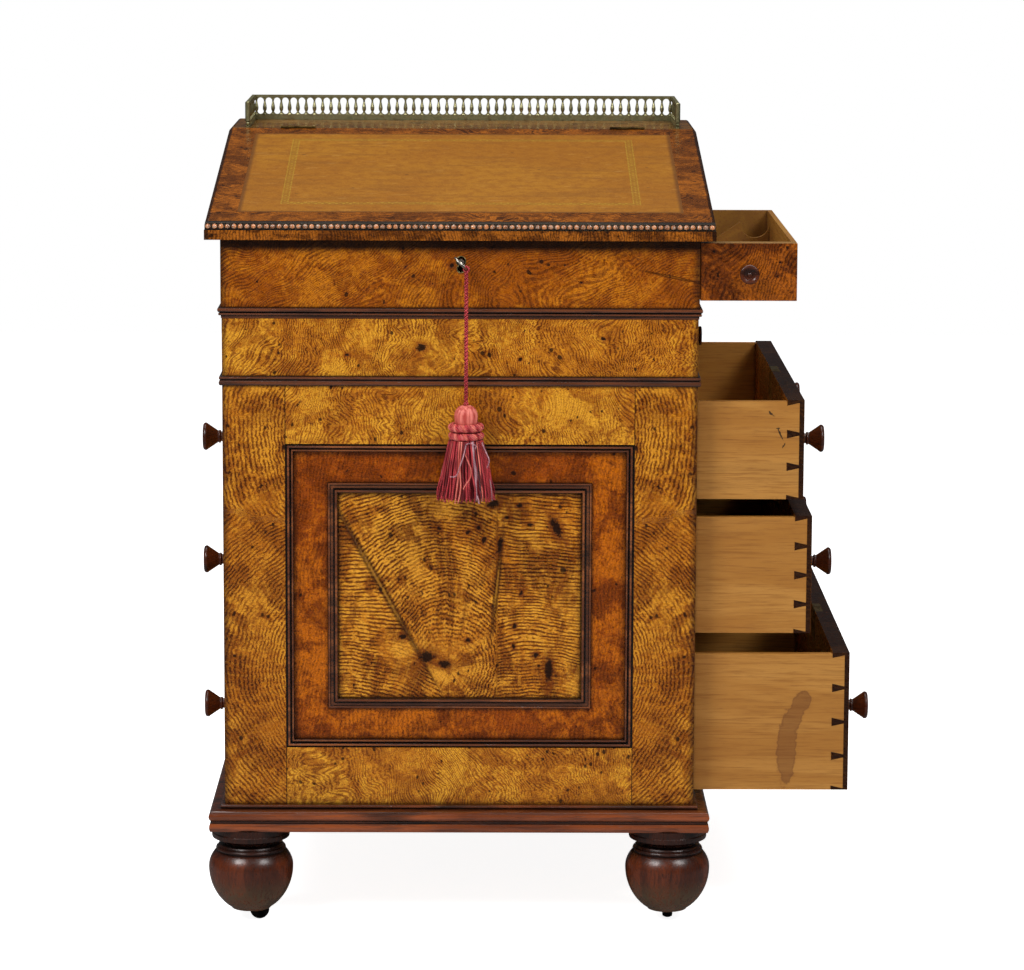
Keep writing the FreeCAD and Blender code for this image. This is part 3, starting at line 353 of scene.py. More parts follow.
def veneer(
    name, seed, centre, shades, zone=None, edge=None, edge_colour=(26, 13, 8), gloss=0.30, dust_and_shade_reach=9.0,
    **figure,
):
    """Polished burr veneer. A zone is a second stretch of veneer: where it is, how its own
    figure is laid, and what that figure is like. An edge darkens the board where it says."""
    tree = new_material(name)
    u, v = flat_point(tree)
    colour, figured = burr(u, v, seed, centre, shades, **figure)
    if zone:
        where, lay, other = zone
        share = where(tree)
        second_u, second_v, middle = lay(u, v)
        second, second_figured = burr(second_u, second_v, seed + 11.0, middle, **other)
        colour = mix(colour, second, share)
        figured = figured + (second_figured - figured) * share
    if edge:
        colour = mix(colour, paint(*edge_colour), edge(tree))
    # Dust and painted shade: near-black darkening in corners and hollows, by ambient occlusion
    colour = mix(colour, DUST_AND_SHADE, crevice(tree, dust_and_shade_reach, 0.86, 0.40) * 0.9)
    wear = clouds(point(tree, u, v, seed + 2.0), 160.0, 4.0, 0.6)
    roughness = step(wear, 0.35, 0.65, gloss - 0.05, gloss + 0.09)
    return finished(
        name, colour, roughness, bump=wear * 0.5 - figured, bump_depth=0.12, Specular_IOR_Level=0.20,
    )


# ---------------------------------------------------------------- how veneers are laid
# Places of fans and creases on the front, across and up, in metres
GREAT_FAN = (-0.012, 0.285)
LEFT_FAN = (-0.125, 0.10)
RIGHT_FAN = (0.075, 0.06)
LEFT_CREASE = (-0.085, 0.372)
ACROSS_CREASE = (0.873, 0.488)      # the way that is square to the left crease
RIGHT_CREASE = 0.040
STILE_FAN = 0.10
UPPER_FAN = 0.53
LOWER_FAN = 0.28
FANS_MEET = 0.392


def two_fans(u, v):
    """The stiles' veneer: one sheet mirrored from stile to stile, with two fans one above
    the other that meet at a row of cracks."""
    across = size_of(u)
    ragged = clouds(point(u.tree, across, v), 26.0, 2.0) - 0.5
    upper = step(v + ragged * 0.03 - across * 0.25, FANS_MEET - 0.004, FANS_MEET + 0.004)
    return across, v, (STILE_FAN, upper * (UPPER_FAN - LOWER_FAN) + LOWER_FAN)


def three_fans(u, v):
    """The panel's veneer: a great fan, cut off by a slanting crease on its left and by an
    upright one on its right, with flatter figure beyond them."""
    past_crease = (u - LEFT_CREASE[0]) * ACROSS_CREASE[0] + (v - LEFT_CREASE[1]) * ACROSS_CREASE[1]
    left = step(past_crease, -0.001, 0.001, 1.0, 0.0)
    right = step(u, RIGHT_CREASE - 0.001, RIGHT_CREASE + 0.001)
    centre = [
        left * (beside - great) + right * (beyond - great) + great
        for great, beside, beyond in zip(GREAT_FAN, LEFT_FAN, RIGHT_FAN)
    ]
    return u, v, centre


def one_fan(middle):
    return lambda u, v: (u, v, middle)


def straight_grain(
    name, shades, along, stretch=14.0, width=300.0, gloss=0.45, seed=0.0, pores=0.5, hollow=6.0,
    open_air=0.85, veins=0.35, washes=(), **shader,
):
    """Plain wood with its grain along x, y or z, and dust and painted shade in its hollows. A wash is a
    colour and a function that says where it lies."""
    tree = new_material(name)
    place = list(zip("xyz", object_point(tree)))
    at = point(tree, *(c * (width / stretch if axis == along else width) for axis, c in place))
    wide = point(tree, *(c * (3.0 if axis == along else 26.0) + seed for axis, c in place))
    lines = clouds(at, 1.0, 4.0, 0.65)
    bands = clouds(wide, 1.0, 3.0, 0.5, bend=0.8)
    pore = step(clouds(at, 3.0, 2.0), 0.60, 0.68)
    colour = layered(
        mix(shades["mid"], shades["light"], step(bands, 0.38, 0.62)),
        (shades["dark"], step(lines, 0.45, 0.72) * 0.7),
        (shades["streak"], step(bands, 0.56, 0.68) * veins),
        (shades["streak"], pore * pores),
        *((paint(*wash), where(tree)) for wash, where in washes),
        # Dust and painted shade: the darkest tone in corners and hollows, by ambient occlusion
        (shades["streak"], crevice(tree, hollow, open_air, open_air - 0.5) * 0.93),
    )
    roughness = step(lines, 0.3, 0.7, gloss - 0.06, gloss + 0.10)
    return finished(name, colour, roughness, bump=lines - pore * 0.5, bump_depth=0.10, **shader)


# ---------------------------------------------------------------- where marks and wear lie
PANEL_HALF_WIDTH = 0.135        # of the raised panel inside the inner moulding
PANEL_HALF_HEIGHT = 0.117
STILE_INNER = 0.1863            # where the stiles' veneer meets the rails'
LID_FRONT_VENEER = -0.2970      # where the strip along the lid's front edge starts
DRAWER_SIDES = -0.2555          # just inside the drawers' sides that are nearest the viewer
# Stains: place across and up, half length, half width (all in millimetres), tilt in degrees
SIDE_STAINS = [((371, 242), 13.0, 10.0, 60), ((361, 222), 24.0, 10.0, 66), ((355, 190), 44.0, 11.0, 88)]
INK_MARKS = [
    ((333, 557), 4.4, 1.3, -40), ((343, 535), 7.0, 1.0, -65), ((347, 522), 3.4, 0.9, 60),
    ((341, 541), 3.0, 0.8, 10),
]

on_front = facing("y", 0.5, 0.8, 0.0, 1.0)                  # faces that look forwards or back
drawer_front_ends = facing("x", 0.4, 0.6, 0.93, 0.0)        # all of a side drawer's front but its face
top_edges = facing("z", 0.5, 0.7, 0.0, 0.9)                 # edges that look up or down
front_moulding_side_shade = facing("y", 0.60, 0.95, 0.92, 0.0)            # painted shade on the sides of mouldings on the front
level_moulding_side_shade = facing("z", 0.25, 0.70, 0.0, 0.88)      # painted shade on the sides of level mouldings
plinth_top_shade = facing("z", 0.25, 0.70, 0.0, 0.45)            # painted shade: tops a little darker than the front


def panel_zone(tree):
    """The raised panel inside the inner moulding."""
    x, _, z = object_point(tree)
    low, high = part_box("front_panel")
    middle = (low[2] + high[2]) / 2
    across = between(x, -PANEL_HALF_WIDTH, PANEL_HALF_WIDTH, 0.0005)
    return across * between(z, middle - PANEL_HALF_HEIGHT, middle + PANEL_HALF_HEIGHT, 0.0005)


def stile_zone(tree):
    """The upright stiles of a frame, outside the veneer joints."""
    x, _, _ = object_point(tree)
    return step(size_of(x), STILE_INNER - 0.0003, STILE_INNER + 0.0003)


def towards_sides(x, along, scale, unevenness, start, full, depth):
    """Wear that deepens towards both sides of the desk, with an uneven edge."""
    ragged = clouds(point(x.tree, x, along), scale, 3.0) - 0.5
    return step(size_of(x) + ragged * unevenness, start, full, 0.0, depth)


def corner_edge(tree):
    """Dirt and wear towards the upright corners of the case."""
    x, _, z = object_point(tree)
    return towards_sides(x, z * 0.4, 90.0, 0.006, 0.244, 0.254, 0.75) * on_front(tree)


def lid_side_edge(tree):
    """The worn, blackened round along the lid's sides."""
    x, y, _ = object_point(tree)
    return towards_sides(x, y * 0.5, 120.0, 0.003, 0.2645, 0.2665, 0.85)


def stile_joint(tree):
    """The fine dark line where the stiles meet the rails."""
    x, _, _ = object_point(tree)
    return between(size_of(x), STILE_INNER - 0.0005, STILE_INNER + 0.0005, 0.0003) * 0.85


def case_edge(tree):
    """The corners of the case, and the joints of its frame."""
    return highest(corner_edge(tree), stile_joint(tree))


def lid_shadow_and_corner_wear(tree):
    """A painted shadow under the lid's overhang, on the box's front, and the darkening towards the case's
    corners.
    """
    x, _, z = object_point(tree)
    lid_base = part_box("lid_board")[0][2]
    ragged = clouds(point(tree, x, z), 60.0, 3.0) - 0.5
    # Painted shadow: the band that the lid's overhang shades, darkest just under it
    painted_lid_shadow = step(z + ragged * 0.004, lid_base - 0.0150, lid_base - 0.0075, 0.0, 0.92)
    return highest(painted_lid_shadow * on_front(tree), corner_edge(tree))


def lid_front_zone(tree):
    """The lid's front edge, a strip of its own veneer under the beads."""
    _, y, _ = object_point(tree)
    return step(y, LID_FRONT_VENEER - 0.0005, LID_FRONT_VENEER + 0.0005, 1.0, 0.0)


def on_near_side(tree):
    """One on the outside of the drawers' side nearest the viewer."""
    _, y, _ = object_point(tree)
    return step(y, DRAWER_SIDES - 0.0005, DRAWER_SIDES + 0.0005, 1.0, 0.0) * on_front(tree)


def near_marks(tree, marks, scale, rough, unevenness):
    """How far a point is from the nearest mark: 1 on the mark's uneven outline."""
    x, _, z = object_point(tree)
    at = point(tree, x, z)
    ragged = (clouds(at, scale, 4.0, rough) - 0.5) * unevenness
    return nearest_blot(at, marks) + ragged


def old_stain(tree):
    """A tide mark that has run down the bottom drawer's side, darkest round its outline."""
    near = near_marks(tree, SIDE_STAINS, 110.0, 0.6, 0.9)
    outline = between(near, 0.84, 0.98, 0.10) * 0.25
    return (outline + step(near, 0.85, 1.0, 0.52, 0.0)) * on_near_side(tree)


def ink_marks(tree):
    """Drops and dashes of ink on the top drawer's side."""
    near = near_marks(tree, INK_MARKS, 420.0, 0.7, 2.6)
    return step(near, 0.7, 1.1, 0.9, 0.0) * on_near_side(tree)


def foot_bloom_and_reflection(tree):
    """The dry, greyed lower half of a foot: wear where the polish has gone, and a painted reflection of the
    white floor.
    """
    x, y, z = object_point(tree)
    grain = clouds(point(tree, x * 420.0, y * 420.0, z * 46.0), 1.0, 3.0, 0.6)
    return step(z + (grain - 0.5) * 0.02, 0.030, 0.058, 0.80, 0.0) * step(grain, 0.40, 0.58, 0.4, 1.0)


def foot_shoulder_shade(tree):
    """Painted shade, near black, round a foot's ring, neck and collar."""
    _, _, z = object_point(tree)
    return step(z, 0.068, 0.079, 0.0, 0.72)


# ---------------------------------------------------------------- other finishes
MOULDING_BROWN = tones((150, 84, 40), (98, 48, 20), (30, 13, 6), (3, 2, 2))
REED_BROWN = tones((112, 58, 27), (70, 34, 15), (24, 11, 6), (3, 2, 2))
PLINTH_BROWN = tones((150, 74, 32), (106, 48, 17), (50, 20, 8), (9, 5, 3))
BEAD_BED = tones((150, 130, 104), (104, 84, 64), (52, 38, 30), (16, 12, 10))
LINING = tones((180, 126, 56), (162, 107, 40), (134, 82, 25), (80, 42, 11))
PEN_LINING = dict(LINING, light=paint(160, 112, 40), mid=paint(140, 94, 30))
PINE = tones((176, 128, 72), (150, 102, 52), (112, 70, 34), (78, 46, 22))
TOOLING_SIDE = 0.044            # from the hide's sides to the gilt border, in metres
TOOLING_ENDS = 0.026            # from its back edge to the border
TOOLING_FRONT = 0.034
TOOLING_WIDTH = 0.0085
TOOLING_LINE = 0.0009
TOOLING_SOFT = 0.0002
TOOLING_PITCH = 0.0075          # of the motif between the border's two lines
SILK_PLY = 2.4                  # height of one turn of a thread's plies, in millimetres


def moulding_wood(name, shades, hollow=14.0, side_shade=level_moulding_side_shade, veins=0.6):
    """Polished moulding wood, streaky, made nearly black in its hollows by dust and painted shade,
    and on its sides by painted shade, so that only its crests keep the wood's own tone.
    """
    return straight_grain(
        name, shades, "x", stretch=18.0, gloss=0.26, pores=0.3, hollow=hollow, open_air=1.0, veins=veins,
        # The wash is painted shade, near black, set by which way a face looks
        washes=[((8, 4, 3), side_shade)], Coat_Weight=0.7, Coat_Roughness=0.18, Specular_IOR_Level=0.5,
    )


def turned_rosewood(name, along="z", light=1.0, washes=()):
    """Turned rosewood. Its two paler tones are lighter or darker by the share given as light."""
    pale, mid = (tuple(c * light for c in tone) for tone in ((126, 54, 20), (80, 32, 12)))
    return straight_grain(
        name, tones(pale, mid, (30, 12, 6), (8, 4, 3)), along, stretch=9.0, width=420.0, gloss=0.30,
        seed=4.0, pores=0.8, hollow=8.0, veins=0.7, washes=washes,
        Coat_Weight=0.3, Coat_Roughness=0.24, Specular_IOR_Level=0.4,
    )


def metal(name, base, tarnish, gloss, spots=0.5):
    """Aged metal: bright where it is rubbed, dull in patches and dark in its corners."""
    tree = new_material(name)
    x, y, z = object_point(tree)
    here = point(tree, x, y, z)
    dull = clouds(here, 90.0, 5.0, 0.65)
    pits = clouds(here, 900.0, 3.0, 0.6)
    share = step(dull, 0.40, 0.62) * spots
    colour = mix(base, tarnish, highest(share, crevice(tree, 3.0) * 0.9))
    roughness = step(dull, 0.35, 0.65, gloss, gloss + 0.25)
    return finished(name, colour, roughness, bump=pits, bump_depth=0.05, Metallic=1.0)


def tooling(x, y):
    """The border tooled round the hide: its band, its gilding, and the hide's dark rim."""
    low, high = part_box("writing_leather")
    half_x = (high[0] - low[0]) / 2
    mid_y, half_y = (low[1] + high[1]) / 2, (high[1] - low[1]) / 2
    in_x = half_x - size_of(x)
    in_y = half_y - size_of(y - mid_y)
    shift = (TOOLING_FRONT - TOOLING_ENDS) / 2
    band_y = half_y - shift - size_of(y - mid_y - shift)
    inset = lowest(in_x - (TOOLING_SIDE - TOOLING_ENDS), band_y)
    outer, inner = TOOLING_ENDS, TOOLING_ENDS + TOOLING_WIDTH
    band = between(inset, outer, inner, TOOLING_SOFT)
    lines = between(inset, outer, outer + TOOLING_LINE, TOOLING_SOFT)
    lines = lines + between(inset, inner - TOOLING_LINE, inner, TOOLING_SOFT)
    motif = step(wave(x, TOOLING_PITCH) * wave(y, TOOLING_PITCH), 0.15, 0.45) * band
    rim = step(lowest(in_x, in_y), 0.0015, 0.006, 0.65, 0.0)
    return band, highest(motif, lines), rim


def leather(name):
    """Old ochre hide with fine mottling, scratches, handling marks and a gilt tooled border."""
    tree = new_material(name)
    x, y, _ = object_point(tree)
    here = point(tree, x, y)
    big = clouds(here, 5.0, 3.0, bend=0.5)
    mottle = clouds(here, 75.0, 5.0, 0.7)
    speckle = clouds(here, 420.0, 3.0, 0.7)
    strokes = clouds(point(tree, x * 7.0, y * 75.0), 1.0, 4.0, 0.6, bend=0.6)
    scratches = clouds(point(tree, x * 30.0 + y * 8.0, y * 420.0 - x * 60.0), 1.0, 1.0)
    marks_at = point(tree, x, y * 2.2)
    marks = step(cell_distance(marks_at, 34.0), 0.05, 0.10, 1.0, 0.0)
    marks = marks * step(cell_chance(marks_at, 34.0), 0.90, 0.91)
    band, gilt, rim = tooling(x, y)
    rubbed = step(clouds(here, 140.0, 4.0, 0.7), 0.40, 0.58)
    colour = layered(
        mix(paint(142, 88, 10), paint(151, 98, 15), step(big, 0.40, 0.62)),
        (paint(126, 74, 8), step(mottle, 0.44, 0.62) * 0.6),
        (paint(120, 74, 14), step(strokes, 0.50, 0.62) * 0.45),
        (paint(188, 132, 48), step(speckle, 0.56, 0.70) * 0.35),
        (paint(96, 50, 10), step(speckle, 0.34, 0.44, 1.0, 0.0) * 0.4),
        (paint(206, 158, 84), step(scratches, 0.70, 0.74) * 0.5),
        (paint(56, 26, 8), marks * 0.85),
        (paint(128, 92, 14), band * 0.35),
        (paint(178, 146, 44), gilt * step(rubbed, 0.0, 1.0, 0.25, 0.9) * 0.5),
        (paint(74, 38, 12), rim),
    )
    pores = cell_distance(here, 700.0)
    creases = clouds(point(tree, x * 14.0, y * 30.0), 1.0, 5.0, 0.7, bend=1.2)
    height = pores * 0.35 + creases - gilt * 0.6
    roughness = step(mottle, 0.3, 0.7, 0.56, 0.68)
    return finished(name, colour, roughness, bump=height, bump_depth=0.18, Specular_IOR_Level=0.18)


def silk(name, deep, bright, lift=0.22):
    """Silk thread: fine slanting plies, with painted shade in their folds and painted highlights on their
    ridges.
    Lift says how much the plies stand out."""
    tree = new_material(name)
    x, y, z = object_point(tree)
    tint = clouds(point(tree, x * 260.0, y * 260.0, z * 30.0), 1.0, 2.0)
    wobble = clouds(point(tree, x, y, z), 260.0, 2.0)
    plies = wave(z + x * 0.9 + wobble * 0.004, SILK_PLY * MM) * 0.5 + 0.5
    # Random tone, with a painted highlight on each ply's ridge and painted shade in its trough
    colour = mix(deep, bright, step(tint * 0.6 + plies * lift, 0.19 + lift * 0.5, 0.41 + lift * 0.5))
    # Painted shade in the folds between threads, by ambient occlusion
    colour = mix(colour, deep, crevice(tree, 2.5, 0.75, 0.25) * 0.7)
    return finished(
        name, colour, 0.48, bump=plies, bump_depth=lift,
        Sheen_Weight=0.12, Sheen_Roughness=0.35, Specular_IOR_Level=0.3,
    )


def bead_wood(name):
    """Tones from orange to brown along the row, with pale grey patches of wear and painted sheen, and dark
    gaps of dust and painted shade.
    """
    tree = new_material(name)
    x, y, z = object_point(tree)
    tone = clouds(point(tree, x, 0.0), 130.0, 1.0)
    wear_and_sheen = clouds(point(tree, x, y, z), 500.0, 3.0, 0.6)
    colour = layered(
        mix(paint(132, 84, 56), paint(200, 126, 74), step(tone, 0.40, 0.58)),
        # Pale grey patches: rubbed wear and a painted sheen
        (paint(176, 166, 150), step(wear_and_sheen, 0.50, 0.62) * 0.7),
        # Dust and painted shade in the gaps between beads, by ambient occlusion
        (paint(40, 32, 28), crevice(tree, 2.6, 0.95, 0.45)),
    )
    gloss = step(wear_and_sheen, 0.3, 0.7, 0.14, 0.28)
    return finished(name, colour, gloss, bump=wear_and_sheen, bump_depth=0.06, Specular_IOR_Level=0.8)


# ---------------------------------------------------------------- mesh tools
def mesh_object(name, vertices, faces, smooth=True):
    mesh = bpy.data.meshes.new(name)
    mesh.from_pydata([tuple(v) for v in vertices], [], faces)
    mesh.validate()
    made = bpy.data.objects.new(name, mesh)
    bpy.context.scene.collection.objects.link(made)
    for polygon in mesh.polygons:
        polygon.use_smooth = smooth
    return made


def joined(name, parts, smooth=True):
    """One object from several lists of vertices and faces."""
    vertices, faces = [], []
    for part_vertices, part_faces in parts:
        offset = len(vertices)
        vertices.extend(part_vertices)
        faces.extend(tuple(i + offset for i in f) for f in part_faces)
    return mesh_object(name, vertices, faces, smooth)


def ring_faces(rings, around, inside_out=False):
    """The faces between closed rings of points that follow one another."""
    faces = []
    for i in range(rings - 1):
        for j in range(around):
            here, beside = i * around + j, i * around + (j + 1) % around
            faces.append((here, beside, beside + around, here + around))
    return [(a, d, c, b) for a, b, c, d in faces] if inside_out else faces


def swept(line, ring):
    """A closed tube along a line of points. ring(t) gives the section there, as (side, up) pairs."""
    vertices = []
    count = len(line)
    side = Vector((1, 0, 0))
    for i, here in enumerate(line):
        ahead = (line[min(i + 1, count - 1)] - line[max(i - 1, 0)]).normalized()
        side = side - ahead * side.dot(ahead)
        if side.length < 1e-4:
            side = ahead.orthogonal()
        side.normalize()
        up = ahead.cross(side)
        section = ring(i / (count - 1))
        vertices.extend(here + side * a + up * b for a, b in section)
    n = len(section)
    ends = [tuple(range(n))[::-1], tuple((count - 1) * n + j for j in range(n))]
    return vertices, ring_faces(count, n) + ends


def tube(line, radius, sides):
    """A round tube along a line of points."""
    return swept(line, lambda t: circle(radius, sides))


def circle(radius, sides):
    turn = 2 * math.pi / sides
    return [(radius * math.cos(i * turn), radius * math.sin(i * turn)) for i in range(sides)]


def around_axis(turn, radius, height=0.0):
    """A place round an upright axis."""
    return Vector((math.cos(turn) * radius, math.sin(turn) * radius, height))


def lathe(outline, middle):
    """A turning about an upright axis, from an outline of (radius, height) that starts and
    ends on the axis."""
    around = 72
    vertices = [
        Vector(middle) + around_axis(2 * math.pi * j / around, radius, height)
        for radius, height in outline for j in range(around)
    ]
    return vertices, ring_faces(len(outline), around)


def welded(piece):
    """Merges doubled points and turns every face outwards."""
    mesh = bmesh.new()
    mesh.from_mesh(piece.data)
    bmesh.ops.remove_doubles(mesh, verts=mesh.verts, dist=0.00001)
    bmesh.ops.recalc_face_normals(mesh, faces=mesh.faces)
    mesh.to_mesh(piece.data)
    mesh.free()


# ---------------------------------------------------------------- turned feet, in millimetres
FOOT_RADIUS = 46.0
FOOT_BOTTOM = 13.3
FOOT_POCKET_RADIUS = 20.6
FOOT_POCKET_TOP = 27.0
BUN_RADIUS = 45.8
BUN_MIDDLE = 60.0
BUN_TOP = 77.2
BUN_RISE_BELOW = 51.8           # half heights of the bun's two part ellipses
BUN_RISE_ABOVE = 33.0
BUN_STEPS = 14


def bun(start, end, rise):
    """Part of the bun's outline, an ellipse about its middle."""
    for i in range(BUN_STEPS + 1):
        height = start + (end - start) * i / BUN_STEPS
        yield BUN_RADIUS * math.sqrt(1 - ((height - BUN_MIDDLE) / rise) ** 2), height


def foot_outline(top):
    """A full bun with a ring, a neck and a collar, hollow below for the castor."""
    pocket = [
        (0.0, FOOT_POCKET_TOP), (FOOT_POCKET_RADIUS, FOOT_POCKET_TOP),
        (FOOT_POCKET_RADIUS, FOOT_BOTTOM), (FOOT_POCKET_RADIUS + 0.6, FOOT_BOTTOM),
    ]
    ring = [(36.6, 77.8), (36.4, 78.6), (37.6, 79.2), (38.0, 80.6), (37.4, 82.0), (35.4, 82.6)]
    neck = [
        (35.2, 83.2), (35.6, 84.0), (34.6, 85.4), (32.0, 86.0), (31.0, 87.0), (31.4, 88.6), (33.4, 90.4),
        (37.4, 91.8),
    ]
    collar = [(40.4, 92.4), (41.8, 93.2), (42.2, 94.6), (42.2, 98.0), (41.2, 99.0), (41.2, top), (0.0, top)]
    lower = list(bun(FOOT_BOTTOM + 1.2, BUN_MIDDLE, BUN_RISE_BELOW))
    upper = list(bun(BUN_MIDDLE + 1.2, BUN_TOP, BUN_RISE_ABOVE))
    outline = pocket + lower + upper + ring + neck + collar
    return [(radius * MM, height * MM) for radius, height in outline]


def turned_feet():
    """Four turned feet in place of the plain ones."""
    low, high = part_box("bun_feet")
    outline = foot_outline(high[2] / MM)
    x, y = high[0] - FOOT_RADIUS * MM, high[1] - FOOT_RADIUS * MM
    middle_y = (low[1] + high[1]) / 2
    reach_y = y - middle_y
    feet = [lathe(outline, (sx * x, middle_y + sy * reach_y, 0.0)) for sx in (-1, 1) for sy in (-1, 1)]
    piece = joined("turned_feet", feet)
    welded(piece)
    piece.data.materials.append(turned_rosewood(
        # Washes: a painted floor reflection with dry wear low on each foot, and painted shade round its
        # shoulder
        "foot_rosewood", light=0.84, washes=[((80, 64, 40), foot_bloom_and_reflection), ((10, 5, 4), foot_shoulder_shade)],
    ))
    sharp = piece.modifiers.new("crisp", "EDGE_SPLIT")
    sharp.split_angle = math.radians(38)
    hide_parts("bun_feet")
    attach(piece, "base")


# ---------------------------------------------------------------- bead moulding and keyhole
BEAD_PITCH = 0.0068
BEAD_STRIP = 0.0077             # height of the bead moulding's front
BEAD_CHANNEL = 2.8              # depth of the channel that the beads lie in, in millimetres
BEAD_FILLET = 0.55              # height of the fillets above and below it, in millimetres
KEYHOLE_MIDDLE = (0.6, 722.2)   # across and up, in millimetres
KEYHOLE_ROUND = 5.2
KEYHOLE_DROP = 8.3              # from the middle of the round to the middle of the lower one
KEYHOLE_END = 4.2
KEYHOLE_STEPS = 30


def ball(centre, radius, squash=(1.0, 1.0, 1.0)):
    """A round bead as vertices and faces."""
    across, up = 10, 8
    vertices = []
    for i in range(up + 1):
        polar = math.pi * i / up
        for j in range(across):
            turn = 2 * math.pi * j / across
            out = around_axis(turn, math.sin(polar), math.cos(polar))
            vertices.append(Vector(centre) + Vector(a * b * radius for a, b in zip(out, squash)))
    return vertices, ring_faces(up + 1, across, inside_out=True)


def strip(x0, x1, *outline):
    """A straight moulding between two X planes, from its outline of (y, z)."""
    n = len(outline)
    vertices = [Vector((x, y, z)) for x in (x0, x1) for y, z in outline]
    faces = [(i, (i + 1) % n, n + (i + 1) % n, n + i) for i in range(n)]
    return vertices, faces + [tuple(range(n))[::-1], tuple(range(n, 2 * n))]


def bead_row():
    """The moulding along the lid's front edge: turned beads between two fine fillets."""
    low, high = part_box("lid_bead_moulding")
    front, back, base, top = low[1], high[1], low[2], high[2]
    height = BEAD_STRIP
    channel = front + BEAD_CHANNEL * MM
    fillet = BEAD_FILLET * MM
    bed = strip(
        low[0], high[0],
        (back, base), (front + 0.9 * MM, base), (front + 0.7 * MM, base + fillet),
        (channel, base + fillet * 1.3), (channel, base + height - fillet * 1.3),
        (front + 1.6 * MM, base + height - fillet), (front + 2.0 * MM, base + height),
        (back, top),
    )
    row = joined("lid_bead_bed", [bed], smooth=False)
    row.data.materials.append(moulding_wood("bead_bed_wood", BEAD_BED, hollow=4.0))
    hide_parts("lid_bead_moulding")
    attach(row, "lid")

    draw = random.Random(5)
    count = round((high[0] - low[0]) / BEAD_PITCH)
    pitch = (high[0] - low[0]) / count
    radius = height / 2 - fillet * 0.7
    beads = []
    for i in range(count):
        middle = (low[0] + (i + 0.5) * pitch, channel + 0.4 * MM, base + height / 2)
        size = radius * draw.uniform(0.88, 1.0)
        reach = (channel + 0.4 * MM - front) * 0.97 / size
        beads.append(ball(middle, size, (0.94 * pitch / 2 / size, reach, draw.uniform(0.9, 1.0))))
    pearls = joined("lid_beads", beads)
    pearls.data.materials.append(bead_wood("bead_wood"))
    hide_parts("lid_bead_moulding")
    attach(pearls, "lid")


def keyhole_rim():
    """A thin brass rim let in round the keyhole: a round above and a smaller one below it."""
    low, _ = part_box("box_front")
    front = low[1] - 0.05 * MM
    upper = Vector(KEYHOLE_MIDDLE) * MM
    lower = Vector((KEYHOLE_MIDDLE[0], KEYHOLE_MIDDLE[1] - KEYHOLE_DROP)) * MM
    parts = []
    for middle, radius, start, end in ((upper, KEYHOLE_ROUND, -58, 238), (lower, KEYHOLE_END, 122, 418)):
        turns = [math.radians(start + (end - start) * i / KEYHOLE_STEPS) for i in range(KEYHOLE_STEPS + 1)]
        line = [
            Vector((middle.x + math.cos(t) * radius * MM, front, middle.y + math.sin(t) * radius * MM))
            for t in turns
        ]
        parts.append(tube(line, 0.42 * MM, 8))
    rim = joined("keyhole_rim", parts)
    rim.data.materials.append(metal("keyhole_brass", paint(170, 160, 112), paint(96, 88, 58), 0.35))
    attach(rim, "writing_box")


# ---------------------------------------------------------------- cord and tassel
CORD_PLY = 0.00120              # radius of each of the cord's two plies
CORD_LAY = 0.0078               # length of cord in which the plies turn once
LOOP_STEPS = 40
KNOT_STEPS = 24
HEAD_SIDES = 144
CORE_SIDES = 40
RUFF_STEPS = 210
RUFF_TWISTS = 10
THREAD_SHARES = {"crimson": 11, "salmon": 4, "wine": 5, "lilac": 4}
SKIRT_LAYERS = ((62, 17.2, 29.6), (46, 14.6, 24.5), (26, 11.0, 18.0))   # threads, radius at top and foot
STRAY_THREADS = [               # loose threads on the skirt, in millimetres from the tassel's top
    ("lilac", [
        (0, -20, -40), (-2, -24, -50), (-6, -28, -60), (-8, -30, -68), (-12, -30, -73), (-17, -27, -72),
    ]),
    ("lilac", [(0, -20, -39), (4, -21, -37), (9, -20, -39), (12, -17, -41), (9, -19, -44)]),
    ("salmon", [(-2, -21, -46), (2, -24, -56), (6, -27, -64), (5, -28, -74), (0, -28, -80), (-3, -29, -86)]),
    ("lilac", [(17, -12, -38), (22, -14, -50), (26, -15, -58), (22, -20, -64)]),
]


def nurbs_route(points):
    """The points in between that a smooth line through a cord's route has."""
    data = bpy.data.curves.new("route", "CURVE")
    data.dimensions = "3D"
    data.resolution_u = 90
    spline = data.splines.new("NURBS")
    spline.points.add(len(points) - 1)
    for control, place in zip(spline.points, points):
        control.co = (*place, 1.0)
    spline.order_u = 3
    spline.use_endpoint_u = True
    route = bpy.data.objects.new("route", data)
    line = bpy.data.meshes.new_from_object(route)
    found = [v.co.copy() for v in line.vertices]
    bpy.data.objects.remove(route)
    bpy.data.meshes.remove(line)
    return found


def twisted(line, strands, offset, radius, turn_length, sides=7):
    """Strands laid round a line of points, as vertices and faces."""
    parts = []
    for s in range(strands):
        path, walked = [], 0.0
        for i, here in enumerate(line):
            ahead = (line[min(i + 1, len(line) - 1)] - line[max(i - 1, 0)]).normalized()
            side = ahead.cross(Vector((0, 1, 0)))
            side = side.normalized() if side.length > 0.2 else ahead.orthogonal().normalized()
            up = ahead.cross(side)
            walked += (here - line[i - 1]).length if i else 0.0
            angle = 2 * math.pi * (walked / turn_length + s / strands)
            path.append(here + side * offset * math.cos(angle) + up * offset * math.sin(angle))
        parts.append(swept(path, lambda t: circle(radius, sides)))
    return parts


def tassel_shape():
    """Where the tassel hangs: its axis, its top, its greatest radius, and the case behind it."""
    low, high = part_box("tassel")
    radius = (high[0] - low[0]) / 2
    return Vector(((low[0] + high[0]) / 2, low[1] + radius, high[2])), radius, high[1]


